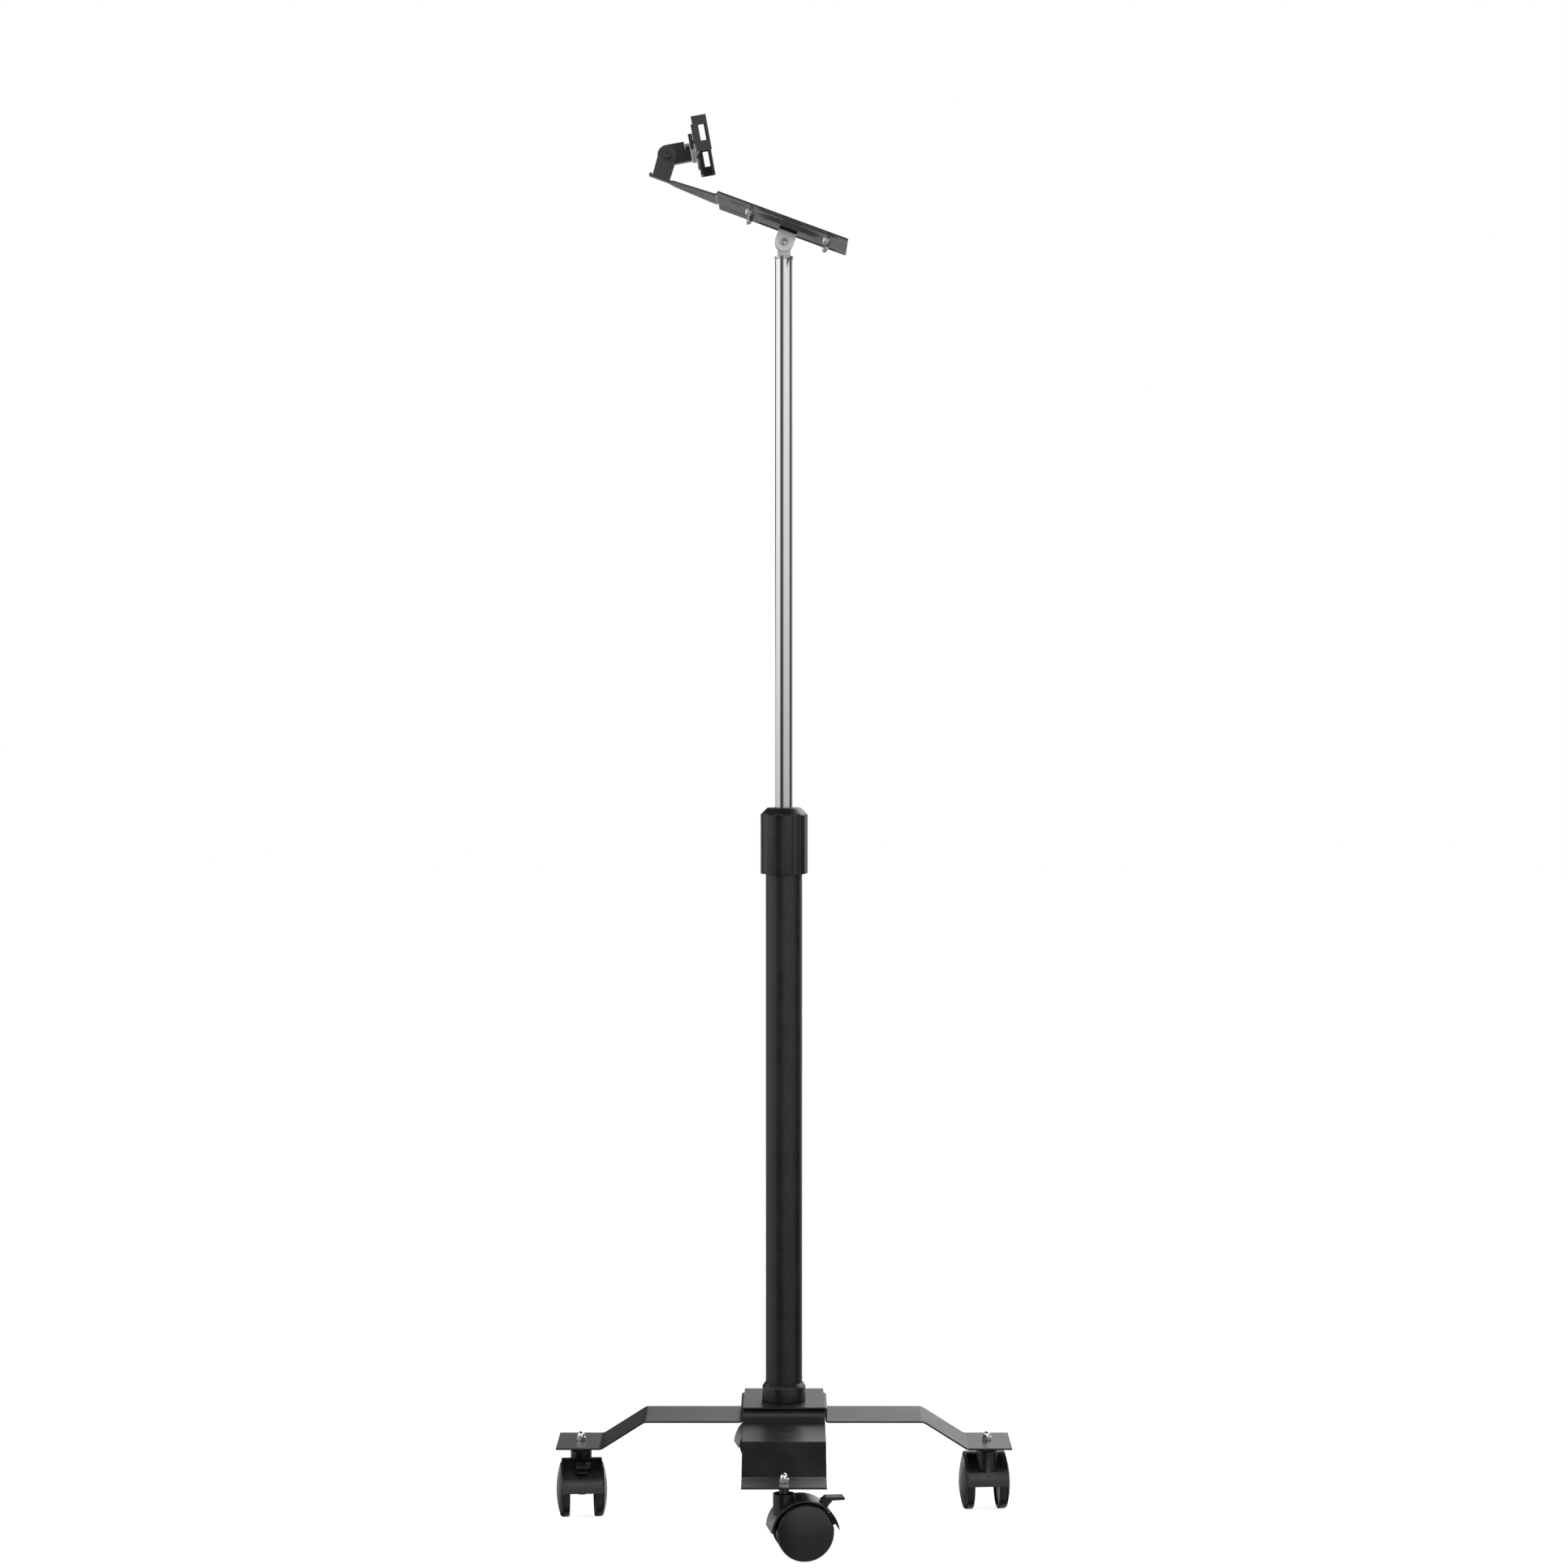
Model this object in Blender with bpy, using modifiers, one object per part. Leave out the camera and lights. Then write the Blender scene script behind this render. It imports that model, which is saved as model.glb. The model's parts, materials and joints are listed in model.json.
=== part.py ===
"""Rolling height-adjustable floor stand with a tilting tray and a jaw holder, built piece by piece."""
import math

import bmesh
import bpy
from mathutils import Matrix, Vector

for old in list(bpy.data.objects):
    bpy.data.objects.remove(old, do_unlink=True)

mm = 0.001

# General clearances
seat_gap = 0.3 * mm
running_gap = 0.05 * mm
overlap = 0.6 * mm
cut_margin = 4.0 * mm

# Base straps
strap_width = 100.8 * mm
strap_sheet = 2.3 * mm
strap_reach = 279.9 * mm
pad_length = 55.5 * mm
slope_run = 53.0 * mm
stem_inset = 28.9 * mm
arm_top_height = 122.7 * mm
pad_top_height = 89.3 * mm
hat_top_height = 139.7 * mm
hat_bend_radius = 1.9 * mm
under_hat_bend_radius = 8.0 * mm
arm_bend_radius = 10.0 * mm
hat_half_width = strap_width / 2 + seat_gap + strap_sheet

# Hub fastening
column_bolt_radius = 6.0 * mm
column_bolt_hole_gap = 0.4 * mm
column_bolt_head_height = 7.5 * mm
column_bolt_head_across_flats = 19.0 * mm
column_bolt_end_gap = 4.0 * mm
spreader_side = 64.0 * mm
spreader_thickness = 4.0 * mm
spreader_corner = 6.0 * mm

# Column
column_steps = 40
tube_radius = 22.7 * mm
tube_wall = 1.6 * mm
tube_top_height = 846.0 * mm
foot_collar_radius = 27.0 * mm
foot_collar_height = 17.3 * mm
foot_collar_chamfer_height = 5.0 * mm
foot_collar_lip = 1.0 * mm
plug_height = 26.0 * mm
pole_radius = 11.0 * mm
pole_wall = 1.5 * mm
mast_insertion = 104.0 * mm
pole_top_height = 1545.8 * mm
foot_guide_height = 30.0 * mm
bush_depth = 34.0 * mm
bush_flange = 3.0 * mm

# Twist-lock collar
lock_skirt = 54.3 * mm
lock_body_height = 74.6 * mm
lock_cone_height = 6.8 * mm
lock_radius = 29.0 * mm
lock_top_radius = 20.5 * mm
lock_flutes = 8
lock_flute_depth = 1.1 * mm
lock_rim_radius = 27.2 * mm
lock_first_rib_degrees = -1.25
lock_rib_side_degrees = 1.2
lock_shoulder_drop = 2.0 * mm
lock_cone_root = 4.0 * mm

# Casters
front_and_rear_yaw = 8.0
left_and_right_yaw = 4.8
wheel_steps = 28
wheel_radius = 34.0 * mm
wheel_trail = 22.2 * mm
wheel_inner = 15.2 * mm
wheel_outer = 26.5 * mm
wheel_shoulder = 2.5 * mm
wheel_edge = 1.2 * mm
wheel_lip = 4.0 * mm
wheel_dome = 4.9 * mm
wheel_rim_radius = 32.2 * mm
wheel_boss_radius = 7.0 * mm
wheel_recess = 2.6 * mm
axle_radius = 3.0 * mm
axle_end = 22.0 * mm
hood_radius = 40.8 * mm
hood_wall = 2.0 * mm
hood_drop = 2.8 * mm
hood_lead_degrees = 175.0
hood_trail_degrees = 6.0
hood_trail_inside_degrees = 13.0
hood_half_width = 24.7 * mm
web_half_width = 4.0 * mm
cup_radius = 13.1 * mm
cup_top_height = 76.7 * mm
cup_recess_radius = 11.0 * mm
cup_recess_depth = 4.2 * mm
cup_groove_drop = 4.6 * mm
cup_groove_depth = 0.7 * mm
cup_groove_half_height = 0.5 * mm
stem_radius = 6.1 * mm
stem_flange_radius = 7.4 * mm
stem_flange_height = 1.6 * mm
stem_flange_chamfer = 1.3 * mm
stem_thread_radius = 3.0 * mm
stem_bottom_height = 50.0 * mm
stem_hole_gap = 0.3 * mm
caster_nut_across_flats = 11.0 * mm
caster_nut_height = 11.3 * mm
caster_nut_hex_height = 4.8 * mm
caster_nut_dome_radius = 4.7 * mm
caster_nut_cap = 2.4 * mm
pedal_pin_along = 47.9 * mm
pedal_pin_height = 56.4 * mm
pedal_pin_radius = 1.5 * mm
pedal_half_width = 8.7 * mm
pedal_arm_half_width = 6.4 * mm
pedal_lug_width = 4.0 * mm
pedal_lug_radius = 4.0 * mm
pedal_notch_back = 5.6 * mm
pedal_notch_front = 6.4 * mm
pedal_notch_below = 5.0 * mm
pedal_notch_above = 13.5 * mm

# Tilt head
pivot_height = 1565.9 * mm
tilt_degrees = 20.1
cap_radius = 11.4 * mm
cap_height = 3.0 * mm
cap_plug_depth = 18.0 * mm
tongue_half_width = 7.9 * mm
tongue_half_thickness = 6.0 * mm
clevis_sheet = 2.5 * mm
clevis_half_width = 11.4 * mm
clevis_rivet_radius = 2.5 * mm
clevis_rivet_spread = 6.5 * mm
pivot_bolt_radius = 5.2 * mm
pivot_nut_across_flats = 16.0 * mm
pivot_nut_height = 6.5 * mm
pivot_bolt_ring_depth = 2.4 * mm
pivot_bolt_ring_outer = 4.8 * mm
pivot_bolt_ring_inner = 3.0 * mm
pivot_bolt_end = 1.5 * mm
tray_underside = 19.8 * mm
tray_sheet = 2.0 * mm
tray_rear = 93.0 * mm
tray_front = 74.4 * mm
tray_half_width = 95.7 * mm
tray_corner = 2.5 * mm
bolt_spread = 50.0 * mm
front_bolts_along = 48.5 * mm
rear_bolts_along = -51.5 * mm
arm_travel = 24.0 * mm
tray_bolt_radius = 2.5 * mm
tray_nut_across_flats = 8.0 * mm
tray_nut_height = 9.6 * mm
tray_nut_hex_height = 4.6 * mm
tray_nut_dome_inset = 0.3 * mm
tray_nut_cap = 2.4 * mm
tray_stud_short = 3.0 * mm
side_slot_inner = 72.0 * mm
side_slot_outer = 90.0 * mm
side_slot_rear = -40.5 * mm
side_slot_front = 62.0 * mm
side_slot_corner = 8.0 * mm
dish_depth = 3.4 * mm
dish_half_length = 43.0 * mm
dish_half_width = 48.0 * mm
dish_corner = 32.0 * mm
dish_floor_half_length = 33.0 * mm
dish_floor_half_width = 32.0 * mm
dish_floor_corner = 20.0 * mm
bridge_front = 57.0 * mm
bridge_half_width = 60.0 * mm
bridge_sheet = 2.3 * mm
bridge_corner = 6.0 * mm

# Rear arm
arm_front = -44.5 * mm
arm_to_bridge_gap = 1.5 * mm
arm_front_half_width = 62.0 * mm
arm_joggle_half_width = 50.0 * mm
arm_joggle_length = 4.0 * mm
arm_waist = -150.0 * mm
arm_waist_half_width = 24.7 * mm
arm_end = -183.0 * mm
arm_end_half_width = 10.3 * mm
arm_sheet = bridge_sheet
ear_radius = 11.2 * mm
ear_foot_front = 12.4 * mm
ear_foot_rear = 8.6 * mm
ear_foot_sink = 0.4 * mm
ear_flank_degrees = 4.0
hinge_along = -170.2 * mm
hinge_up = 50.5 * mm
hinge_screw_radius = 2.5 * mm
hinge_screw_head_radius = 5.0 * mm
hinge_screw_head_height = 4.4 * mm
hinge_socket_radius = 2.1 * mm
hinge_socket_depth = 2.4 * mm
hinge_screw_end = 1.2 * mm
hinge_nut_across_flats = 8.0 * mm
hinge_nut_height = 4.2 * mm
lip_height = 1.6 * mm

# Display holder
holder_lean_degrees = 10.4
holder_centre = 3.0 * mm
knuckle_radius = 12.25 * mm
knuckle_reach = 28.6 * mm
knuckle_step_along = 22.5 * mm
knuckle_step_up = 3.4 * mm
standoff_radius = 3.3 * mm
bar_thickness = 5.0 * mm
bar_half_height = 9.3 * mm
bar_half_length = 70.0 * mm
tongue_thickness = 2.5 * mm
jaw_tongue_half_height = 11.7 * mm
jaw_tongue_inner = 15.0 * mm
jaw_half_height = 21.0 * mm
jaw_depth = 17.5 * mm
jaw_outer = 135.0 * mm
jaw_wall = 2.2 * mm
jaw_hook_length = 13.0 * mm
jaw_window_top = 9.8 * mm
jaw_window_bottom = -9.4 * mm
jaw_window_back = 7.0 * mm
jaw_window_rim = 2.5 * mm
jaw_window_corner = 0.6 * mm
guide_screw_along = 60.0 * mm
guide_screw_radius = 2.2 * mm
guide_head_height = 1.8 * mm
guide_head_chamfer = 0.8 * mm
guide_slot_inner = 27.0 * mm
guide_slot_outer = 75.0 * mm
pad_thickness = 2.0 * mm
pad_inset = 1.0 * mm

# Worked-out positions
arm_slope_reach = strap_reach - pad_length
arm_flat_reach = arm_slope_reach - slope_run
stem_reach = strap_reach - stem_inset
pole_bottom_height = tube_top_height - mast_insertion
lock_bottom_height = tube_top_height - lock_skirt
lock_shoulder_height = lock_bottom_height + lock_body_height
lock_top_height = lock_shoulder_height + lock_cone_height
axle_height = wheel_radius
hood_centre_height = axle_height - hood_drop
strap_top_under = hat_top_height - strap_sheet - seat_gap
hub_underside = strap_top_under - strap_sheet
tube_bottom_height = hat_top_height + seat_gap
bore_of_tube = tube_radius - tube_wall
holder_back = knuckle_reach + seat_gap
tongue_back = holder_back + bar_thickness + seat_gap
tongue_front = tongue_back + tongue_thickness

part = bpy.data.collections.new("rolling_display_floor_stand")
bpy.context.scene.collection.children.link(part)
cutters = bpy.data.collections.new("cutters")
bpy.context.scene.collection.children.link(cutters)
cutters.hide_render = True


# Materials
def make_material(name, color, roughness, metallic):
    material = bpy.data.materials.new(name)
    material.use_nodes = True
    shader = material.node_tree.nodes["Principled BSDF"]
    shader.inputs["Base Color"].default_value = (*color, 1.0)
    shader.inputs["Roughness"].default_value = roughness
    shader.inputs["Metallic"].default_value = metallic
    material.diffuse_color = (*color, 1.0)
    return material


black_coat = ("black_coat", (0.03, 0.03, 0.032), 0.35, 0.0)
black_plastic = ("black_plastic", (0.02, 0.02, 0.021), 0.3, 0.0)
grey_plastic = ("grey_plastic", (0.045, 0.045, 0.047), 0.4, 0.0)
polished_steel = ("polished_steel", (0.78, 0.78, 0.79), 0.12, 1.0)
satin_steel = ("satin_steel", (0.55, 0.55, 0.56), 0.35, 1.0)
dark_steel = ("dark_steel", (0.12, 0.12, 0.125), 0.4, 1.0)
rubber = ("rubber", (0.03, 0.03, 0.03), 0.8, 0.0)


def publish(shape, name, finish, matrix=None):
    """Names a finished piece, gives it its own material and puts it in the part's collection."""
    shape.name = name
    shape.data.name = name
    shape.data.materials.clear()
    shape.data.materials.append(make_material(name, finish[1], finish[2], finish[3]))
    for collection in list(shape.users_collection):
        collection.objects.unlink(shape)
    part.objects.link(shape)
    if matrix is not None:
        shape.matrix_world = matrix
    return shape


# Shape helpers
def object_from_bmesh(mesh_builder, name):
    mesh = bpy.data.meshes.new(name)
    bmesh.ops.recalc_face_normals(mesh_builder, faces=mesh_builder.faces)
    mesh_builder.to_mesh(mesh)
    mesh_builder.free()
    shape = bpy.data.objects.new(name, mesh)
    cutters.objects.link(shape)
    shape.display_type = "WIRE"
    return shape


def evaluated(shape, name):
    """Turns a curve or a mesh with modifiers into a plain closed mesh."""
    bpy.context.view_layer.update()
    graph = bpy.context.evaluated_depsgraph_get()
    mesh = bpy.data.meshes.new_from_object(shape.evaluated_get(graph), depsgraph=graph)
    mesh.name = name
    result = bpy.data.objects.new(name, mesh)
    cutters.objects.link(result)
    result.display_type = "WIRE"
    result.matrix_world = shape.matrix_world
    bpy.data.objects.remove(shape, do_unlink=True)
    builder = bmesh.new()
    builder.from_mesh(mesh)
    bmesh.ops.remove_doubles(builder, verts=builder.verts, dist=0.00001)
    bmesh.ops.recalc_face_normals(builder, faces=builder.faces)
    builder.to_mesh(mesh)
    builder.free()
    return result


def baked(shape, matrix):
    """Moves the mesh itself, so that the object stays unturned at the origin."""
    shape.data.transform(matrix)
    shape.data.update()
    return shape


def plate(outlines, low, high, turn=None):
    """A flat outline with holes, drawn in X and Y, standing from low to high in Z."""
    curve = bpy.data.curves.new("outline", "CURVE")
    curve.dimensions = "2D"
    curve.fill_mode = "BOTH"
    curve.extrude = (high - low) / 2
    for points in outlines:
        spline = curve.splines.new("POLY")
        spline.points.add(len(points) - 1)
        for spot, point in zip(spline.points, points):
            spot.co = (point[0], point[1], 0.0, 1.0)
        spline.use_cyclic_u = True
    shape = bpy.data.objects.new("outline", curve)
    cutters.objects.link(shape)
    result = evaluated(shape, "plate")
    baked(result, Matrix.Translation((0.0, 0.0, (high + low) / 2)))
    if turn is not None:
        baked(result, turn)
    return result


def turned(profile, steps, turn=None):
    """A profile of radius and height pairs, screwed once round the Z axis."""
    mesh = bpy.data.meshes.new("profile")
    points = [(radius, 0.0, height) for radius, height in profile]
    edges = [(index, index + 1) for index in range(len(points) - 1)]
    if profile[0][0] > 0.0 or profile[-1][0] > 0.0:
        edges.append((len(points) - 1, 0))
    mesh.from_pydata(points, edges, [])
    shape = bpy.data.objects.new("profile", mesh)
    cutters.objects.link(shape)
    screw = shape.modifiers.new("Screw", "SCREW")
    screw.axis = "Z"
    screw.angle = math.tau
    screw.steps = steps
    screw.render_steps = steps
    screw.use_merge_vertices = True
    screw.merge_threshold = 0.00001
    screw.use_normal_calculate = True
    result = evaluated(shape, "turned")
    if turn is not None:
        baked(result, turn)
    return result


def block(low, high, turn=None):
    builder = bmesh.new()
    bmesh.ops.create_cube(builder, size=1.0)
    size = Vector(high) - Vector(low)
    middle = (Vector(high) + Vector(low)) / 2
    bmesh.ops.scale(builder, vec=size, verts=builder.verts)
    bmesh.ops.translate(builder, vec=middle, verts=builder.verts)
    result = object_from_bmesh(builder, "block")
    if turn is not None:
        baked(result, turn)
    return result


def rod(radius, low, high, sides=32, turn=None, spin=0.0):
    """A straight round or many-sided bar along Z."""
    builder = bmesh.new()
    bmesh.ops.create_cone(builder, cap_ends=True, segments=sides, radius1=radius, radius2=radius,
                          depth=high - low)
    bmesh.ops.translate(builder, vec=(0.0, 0.0, (high + low) / 2), verts=builder.verts)
    bmesh.ops.rotate(builder, cent=(0.0, 0.0, 0.0), matrix=Matrix.Rotation(spin, 3, "Z"),
                     verts=builder.verts)
    result = object_from_bmesh(builder, "rod")
    if turn is not None:
        baked(result, turn)
    return result


def round_clear(radius, sides):
    """The corner radius of a many-sided hole whose flats still clear the given radius."""
    return radius / math.cos(math.pi / sides)


def hexagon_corner(across_flats):
    """The corner radius of a hexagon, from its size across the flats."""
    return across_flats / math.sqrt(3)


def bore(radius, low, high, sides=24, turn=None):
    return rod(round_clear(radius, sides), low, high, sides, turn)


def boolean(shape, tool, operation):
    modifier = shape.modifiers.new("Boolean", "BOOLEAN")
    modifier.operation = operation
    modifier.solver = "EXACT"
    modifier.object = tool
    result = evaluated(shape, "solid")
    bpy.data.objects.remove(tool, do_unlink=True)
    return result


def cut(shape, *tools):
    for tool in tools:
        shape = boolean(shape, tool, "DIFFERENCE")
    return shape


def join(shape, *tools):
    for tool in tools:
        shape = boolean(shape, tool, "UNION")
    return shape


def arc(centre, radius, start, end, steps):
    """Points on an arc, with the angles in degrees."""
    points = []
    for step in range(steps + 1):
        angle = math.radians(start + (end - start) * step / steps)
        points.append((centre[0] + radius * math.cos(angle), centre[1] + radius * math.sin(angle)))
    return points


def circle(centre, radius, sides):
    """A closed round outline, without its first point twice."""
    return arc(centre, radius, 0, 360, sides)[:-1]


def rounded_box(low, high, radius, steps=4):
    """An upright rectangle with rounded corners."""
    points = []
    points += arc((high[0] - radius, high[1] - radius), radius, 0, 90, steps)
    points += arc((low[0] + radius, high[1] - radius), radius, 90, 180, steps)
    points += arc((low[0] + radius, low[1] + radius), radius, 180, 270, steps)
    points += arc((high[0] - radius, low[1] + radius), radius, 270, 360, steps)
    return points


def sheet_outline(centreline, bend_radii, thickness, steps=4):
    """The closed side view of a bent sheet, from its middle line and a bend radius per point."""
    left = []
    right = []
    half = thickness / 2
    count = len(centreline)
    for index, corner in enumerate(centreline):
        corner = Vector(corner)
        if index in (0, count - 1):
            other = Vector(centreline[1 if index == 0 else count - 2])
            along = (other - corner).normalized() if index == 0 else (corner - other).normalized()
            across = Vector((-along.y, along.x))
            left.append(corner + across * half)
            right.append(corner - across * half)
            continue
        before = (corner - Vector(centreline[index - 1])).normalized()
        after = (Vector(centreline[index + 1]) - corner).normalized()
        turn = before.angle_signed(after)
        side = -1.0 if turn > 0 else 1.0
        radius = bend_radii[index]
        trim = radius * math.tan(abs(turn) / 2)
        start_across = Vector((-before.y, before.x))
        hinge = corner - before * trim + start_across * radius * side
        for step in range(steps + 1):
            angle = -turn * step / steps
            across = Vector((start_across.x * math.cos(angle) - start_across.y * math.sin(angle),
                             start_across.x * math.sin(angle) + start_across.y * math.cos(angle)))
            middle = hinge - across * radius * side
            left.append(middle + across * half)
            right.append(middle - across * half)
    return [tuple(point) for point in left + right[::-1]]


def acorn_nut(across_flats, height, hex_height, dome_radius, hole_radius, hole_depth):
    """A hexagon with a domed cap, standing on Z = 0 with its thread hole open below."""
    nut = rod(hexagon_corner(across_flats), 0.0, hex_height, 6)
    dome_top = height - hex_height
    dome = [(0.0, height)]
    for step in range(1, 4):
        angle = math.radians(90 - 30 * step)
        dome.append((dome_radius * math.cos(angle), hex_height + dome_top * math.sin(angle)))
    dome.append((dome_radius, hex_height - overlap))
    dome.append((0.0, hex_height - overlap))
    nut = join(nut, turned(dome, 12))
    return cut(nut, bore(hole_radius, -cut_margin, hole_depth, 12))


# Directions that stand a side view up: first and second drawn axes go to the named world axes
side_view = Matrix(((1, 0, 0, 0), (0, 0, -1, 0), (0, 1, 0, 0), (0, 0, 0, 1)))
front_view = Matrix(((0, 0, 1, 0), (1, 0, 0, 0), (0, 1, 0, 0), (0, 0, 0, 1)))
along_y = Matrix.Rotation(-math.pi / 2, 4, "X")
along_x = Matrix.Rotation(math.pi / 2, 4, "Y")


# Base straps
def strap_side_view(hat_height, top_bend_radius):
    """The pressed hat, a level arm, a slope and a pad on each side, from end to end."""
    arm_middle = arm_top_height - strap_sheet / 2
    pad_middle = pad_top_height - strap_sheet / 2
    hat_middle = hat_height - strap_sheet / 2
    riser = hat_half_width - strap_sheet / 2
    half = [(riser, hat_middle), (riser, arm_middle), (arm_flat_reach, arm_middle),
            (arm_slope_reach, pad_middle), (strap_reach, pad_middle)]
    line = [(-x, z) for x, z in half[::-1]] + half
    radii = [0.0, arm_bend_radius, arm_bend_radius, hat_bend_radius, top_bend_radius]
    return sheet_outline(line, radii + radii[::-1], strap_sheet)


def strap(hat_height, top_bend_radius):
    side = strap_side_view(hat_height, top_bend_radius)
    shape = plate([side], -strap_width / 2, strap_width / 2, side_view)
    for sense in (-1, 1):
        hole = bore(stem_thread_radius + stem_hole_gap, pad_top_height - strap_sheet - cut_margin,
                    pad_top_height + cut_margin, 20)
        baked(hole, Matrix.Translation((sense * stem_reach, 0.0, 0.0)))
        shape = cut(shape, hole)
    centre_hole = bore(column_bolt_radius + column_bolt_hole_gap, hub_underside - cut_margin,
                       hat_top_height + cut_margin, 24)
    return cut(shape, centre_hole)


publish(strap(hat_top_height, hat_bend_radius), "base_strap_upper", black_coat)
lower_strap = baked(strap(strap_top_under, under_hat_bend_radius), Matrix.Rotation(math.pi / 2, 4, "Z"))
publish(lower_strap, "base_strap_lower", black_coat)

spreader_top = hub_underside - seat_gap
spreader_bottom = spreader_top - spreader_thickness
half_spreader = spreader_side / 2
spreader_outline = rounded_box((-half_spreader, -half_spreader), (half_spreader, half_spreader),
                               spreader_corner)
spreader = plate([spreader_outline], spreader_bottom, spreader_top)
spreader = cut(spreader, bore(column_bolt_radius + column_bolt_hole_gap, spreader_bottom - cut_margin,
                              spreader_top + cut_margin, 24))
publish(spreader, "hub_spreader_plate", dark_steel)

head_top = spreader_bottom - seat_gap
plug_top = tube_bottom_height + plug_height
bolt_top = plug_top - column_bolt_end_gap
head_bottom = head_top - column_bolt_head_height
column_bolt = rod(hexagon_corner(column_bolt_head_across_flats), head_bottom, head_top, 6)
column_bolt = join(column_bolt, rod(column_bolt_radius, head_top - overlap, bolt_top, 24))
publish(column_bolt, "column_bolt", satin_steel)

# Column: the lower tube with its threaded plug welded in
tube_profile = [(tube_radius, tube_top_height), (tube_radius, tube_bottom_height),
                (column_bolt_radius + running_gap, tube_bottom_height),
                (column_bolt_radius + running_gap, plug_top),
                (bore_of_tube, plug_top), (bore_of_tube, tube_top_height)]
publish(turned(tube_profile, column_steps), "column_tube", black_coat)

foot_top = hat_top_height + seat_gap + foot_collar_height + foot_collar_chamfer_height
foot_bore = tube_radius + running_gap
foot_profile = [(foot_bore + foot_collar_lip, foot_top),
                (foot_collar_radius, foot_top - foot_collar_chamfer_height),
                (foot_collar_radius, hat_top_height + seat_gap),
                (foot_bore, hat_top_height + seat_gap),
                (foot_bore, foot_top)]
publish(turned(foot_profile, column_steps), "column_foot_collar", black_plastic)

pole_bore = pole_radius - pole_wall
pole_profile = [(pole_radius, pole_top_height - seat_gap), (pole_radius, pole_bottom_height),
                (pole_bore, pole_bottom_height), (pole_bore, pole_top_height - seat_gap)]
publish(turned(pole_profile, column_steps), "mast_pole", polished_steel)

guide_outer = bore_of_tube - running_gap
bush_bore = round_clear(pole_radius + running_gap, column_steps)
guide_profile = [(guide_outer, pole_bottom_height + foot_guide_height), (guide_outer, pole_bottom_height),
                 (bush_bore, pole_bottom_height), (bush_bore, pole_bottom_height + foot_guide_height)]
publish(turned(guide_profile, column_steps), "mast_foot_guide", grey_plastic)

bush_top = tube_top_height + seat_gap + bush_flange
bush_profile = [(tube_radius, bush_top), (tube_radius, tube_top_height + seat_gap),
                (guide_outer, tube_top_height + seat_gap), (guide_outer, tube_top_height - bush_depth),
                (bush_bore, tube_top_height - bush_depth), (bush_bore, bush_top)]
publish(turned(bush_profile, column_steps), "column_bush", grey_plastic)

# Twist-lock collar: a fluted outline standing between a plain inside and a coned top
lock_bore = tube_radius + seat_gap
lock_mouth = pole_radius + seat_gap
lock_inside_top = bush_top + seat_gap
flute_outline = []
for flute in range(lock_flutes):
    flute_turn = 360.0 / lock_flutes
    rib_start = lock_first_rib_degrees + flute_turn * flute
    rib_end = rib_start + flute_turn / 2
    side = lock_rib_side_degrees
    flute_outline += arc((0.0, 0.0), lock_radius, rib_start + side, rib_end - side, 3)
    flute_outline += arc((0.0, 0.0), lock_radius - lock_flute_depth, rib_end + side,
                         rib_start + flute_turn - side, 3)
lock = plate([flute_outline], lock_bottom_height, lock_shoulder_height)
cone_root_height = lock_shoulder_height - lock_cone_root
lock_cone = [(lock_top_radius, lock_top_height), (lock_rim_radius, lock_shoulder_height - overlap),
             (lock_rim_radius, cone_root_height), (0.0, cone_root_height), (0.0, lock_top_height)]
lock = join(lock, turned(lock_cone, column_steps))
lock_round = [(lock_top_radius, lock_top_height + cut_margin), (lock_top_radius, lock_top_height),
              (lock_rim_radius, lock_shoulder_height),
              (lock_radius + seat_gap, lock_shoulder_height - lock_shoulder_drop),
              (lock_radius + cut_margin, lock_shoulder_height - lock_shoulder_drop),
              (lock_radius + cut_margin, lock_top_height + cut_margin)]
lock = cut(lock, turned(lock_round, column_steps))
lock = cut(lock, bore(lock_bore, lock_bottom_height - cut_margin, lock_inside_top, column_steps),
           bore(lock_mouth, lock_bottom_height, lock_top_height + cut_margin, column_steps))
publish(lock, "lock_collar", grey_plastic)


# Casters, drawn with the stem on Z, the wheels trailing to +X and the axle along Y
def wheel_mesh(side):
    """A domed disc, hollow on the inside round a boss that turns on the axle."""
    profile = []
    for step in range(4):
        share = step / 3
        profile.append((wheel_rim_radius * share, wheel_outer + wheel_dome * (1 - share * share)))
    boss_face = web_half_width + seat_gap
    axle_bore = axle_radius + running_gap
    profile += [(wheel_radius, wheel_outer - wheel_shoulder), (wheel_radius, wheel_inner + wheel_edge),
                (wheel_radius - wheel_edge, wheel_inner), (wheel_radius - wheel_lip, wheel_inner),
                (wheel_radius - wheel_lip, wheel_inner + wheel_recess),
                (wheel_boss_radius, wheel_inner + wheel_recess), (wheel_boss_radius, boss_face),
                (axle_bore, boss_face), (axle_bore, axle_end + seat_gap), (0.0, axle_end + seat_gap)]
    return turned(profile, wheel_steps, Matrix.Rotation(side * -math.pi / 2, 4, "X"))


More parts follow.
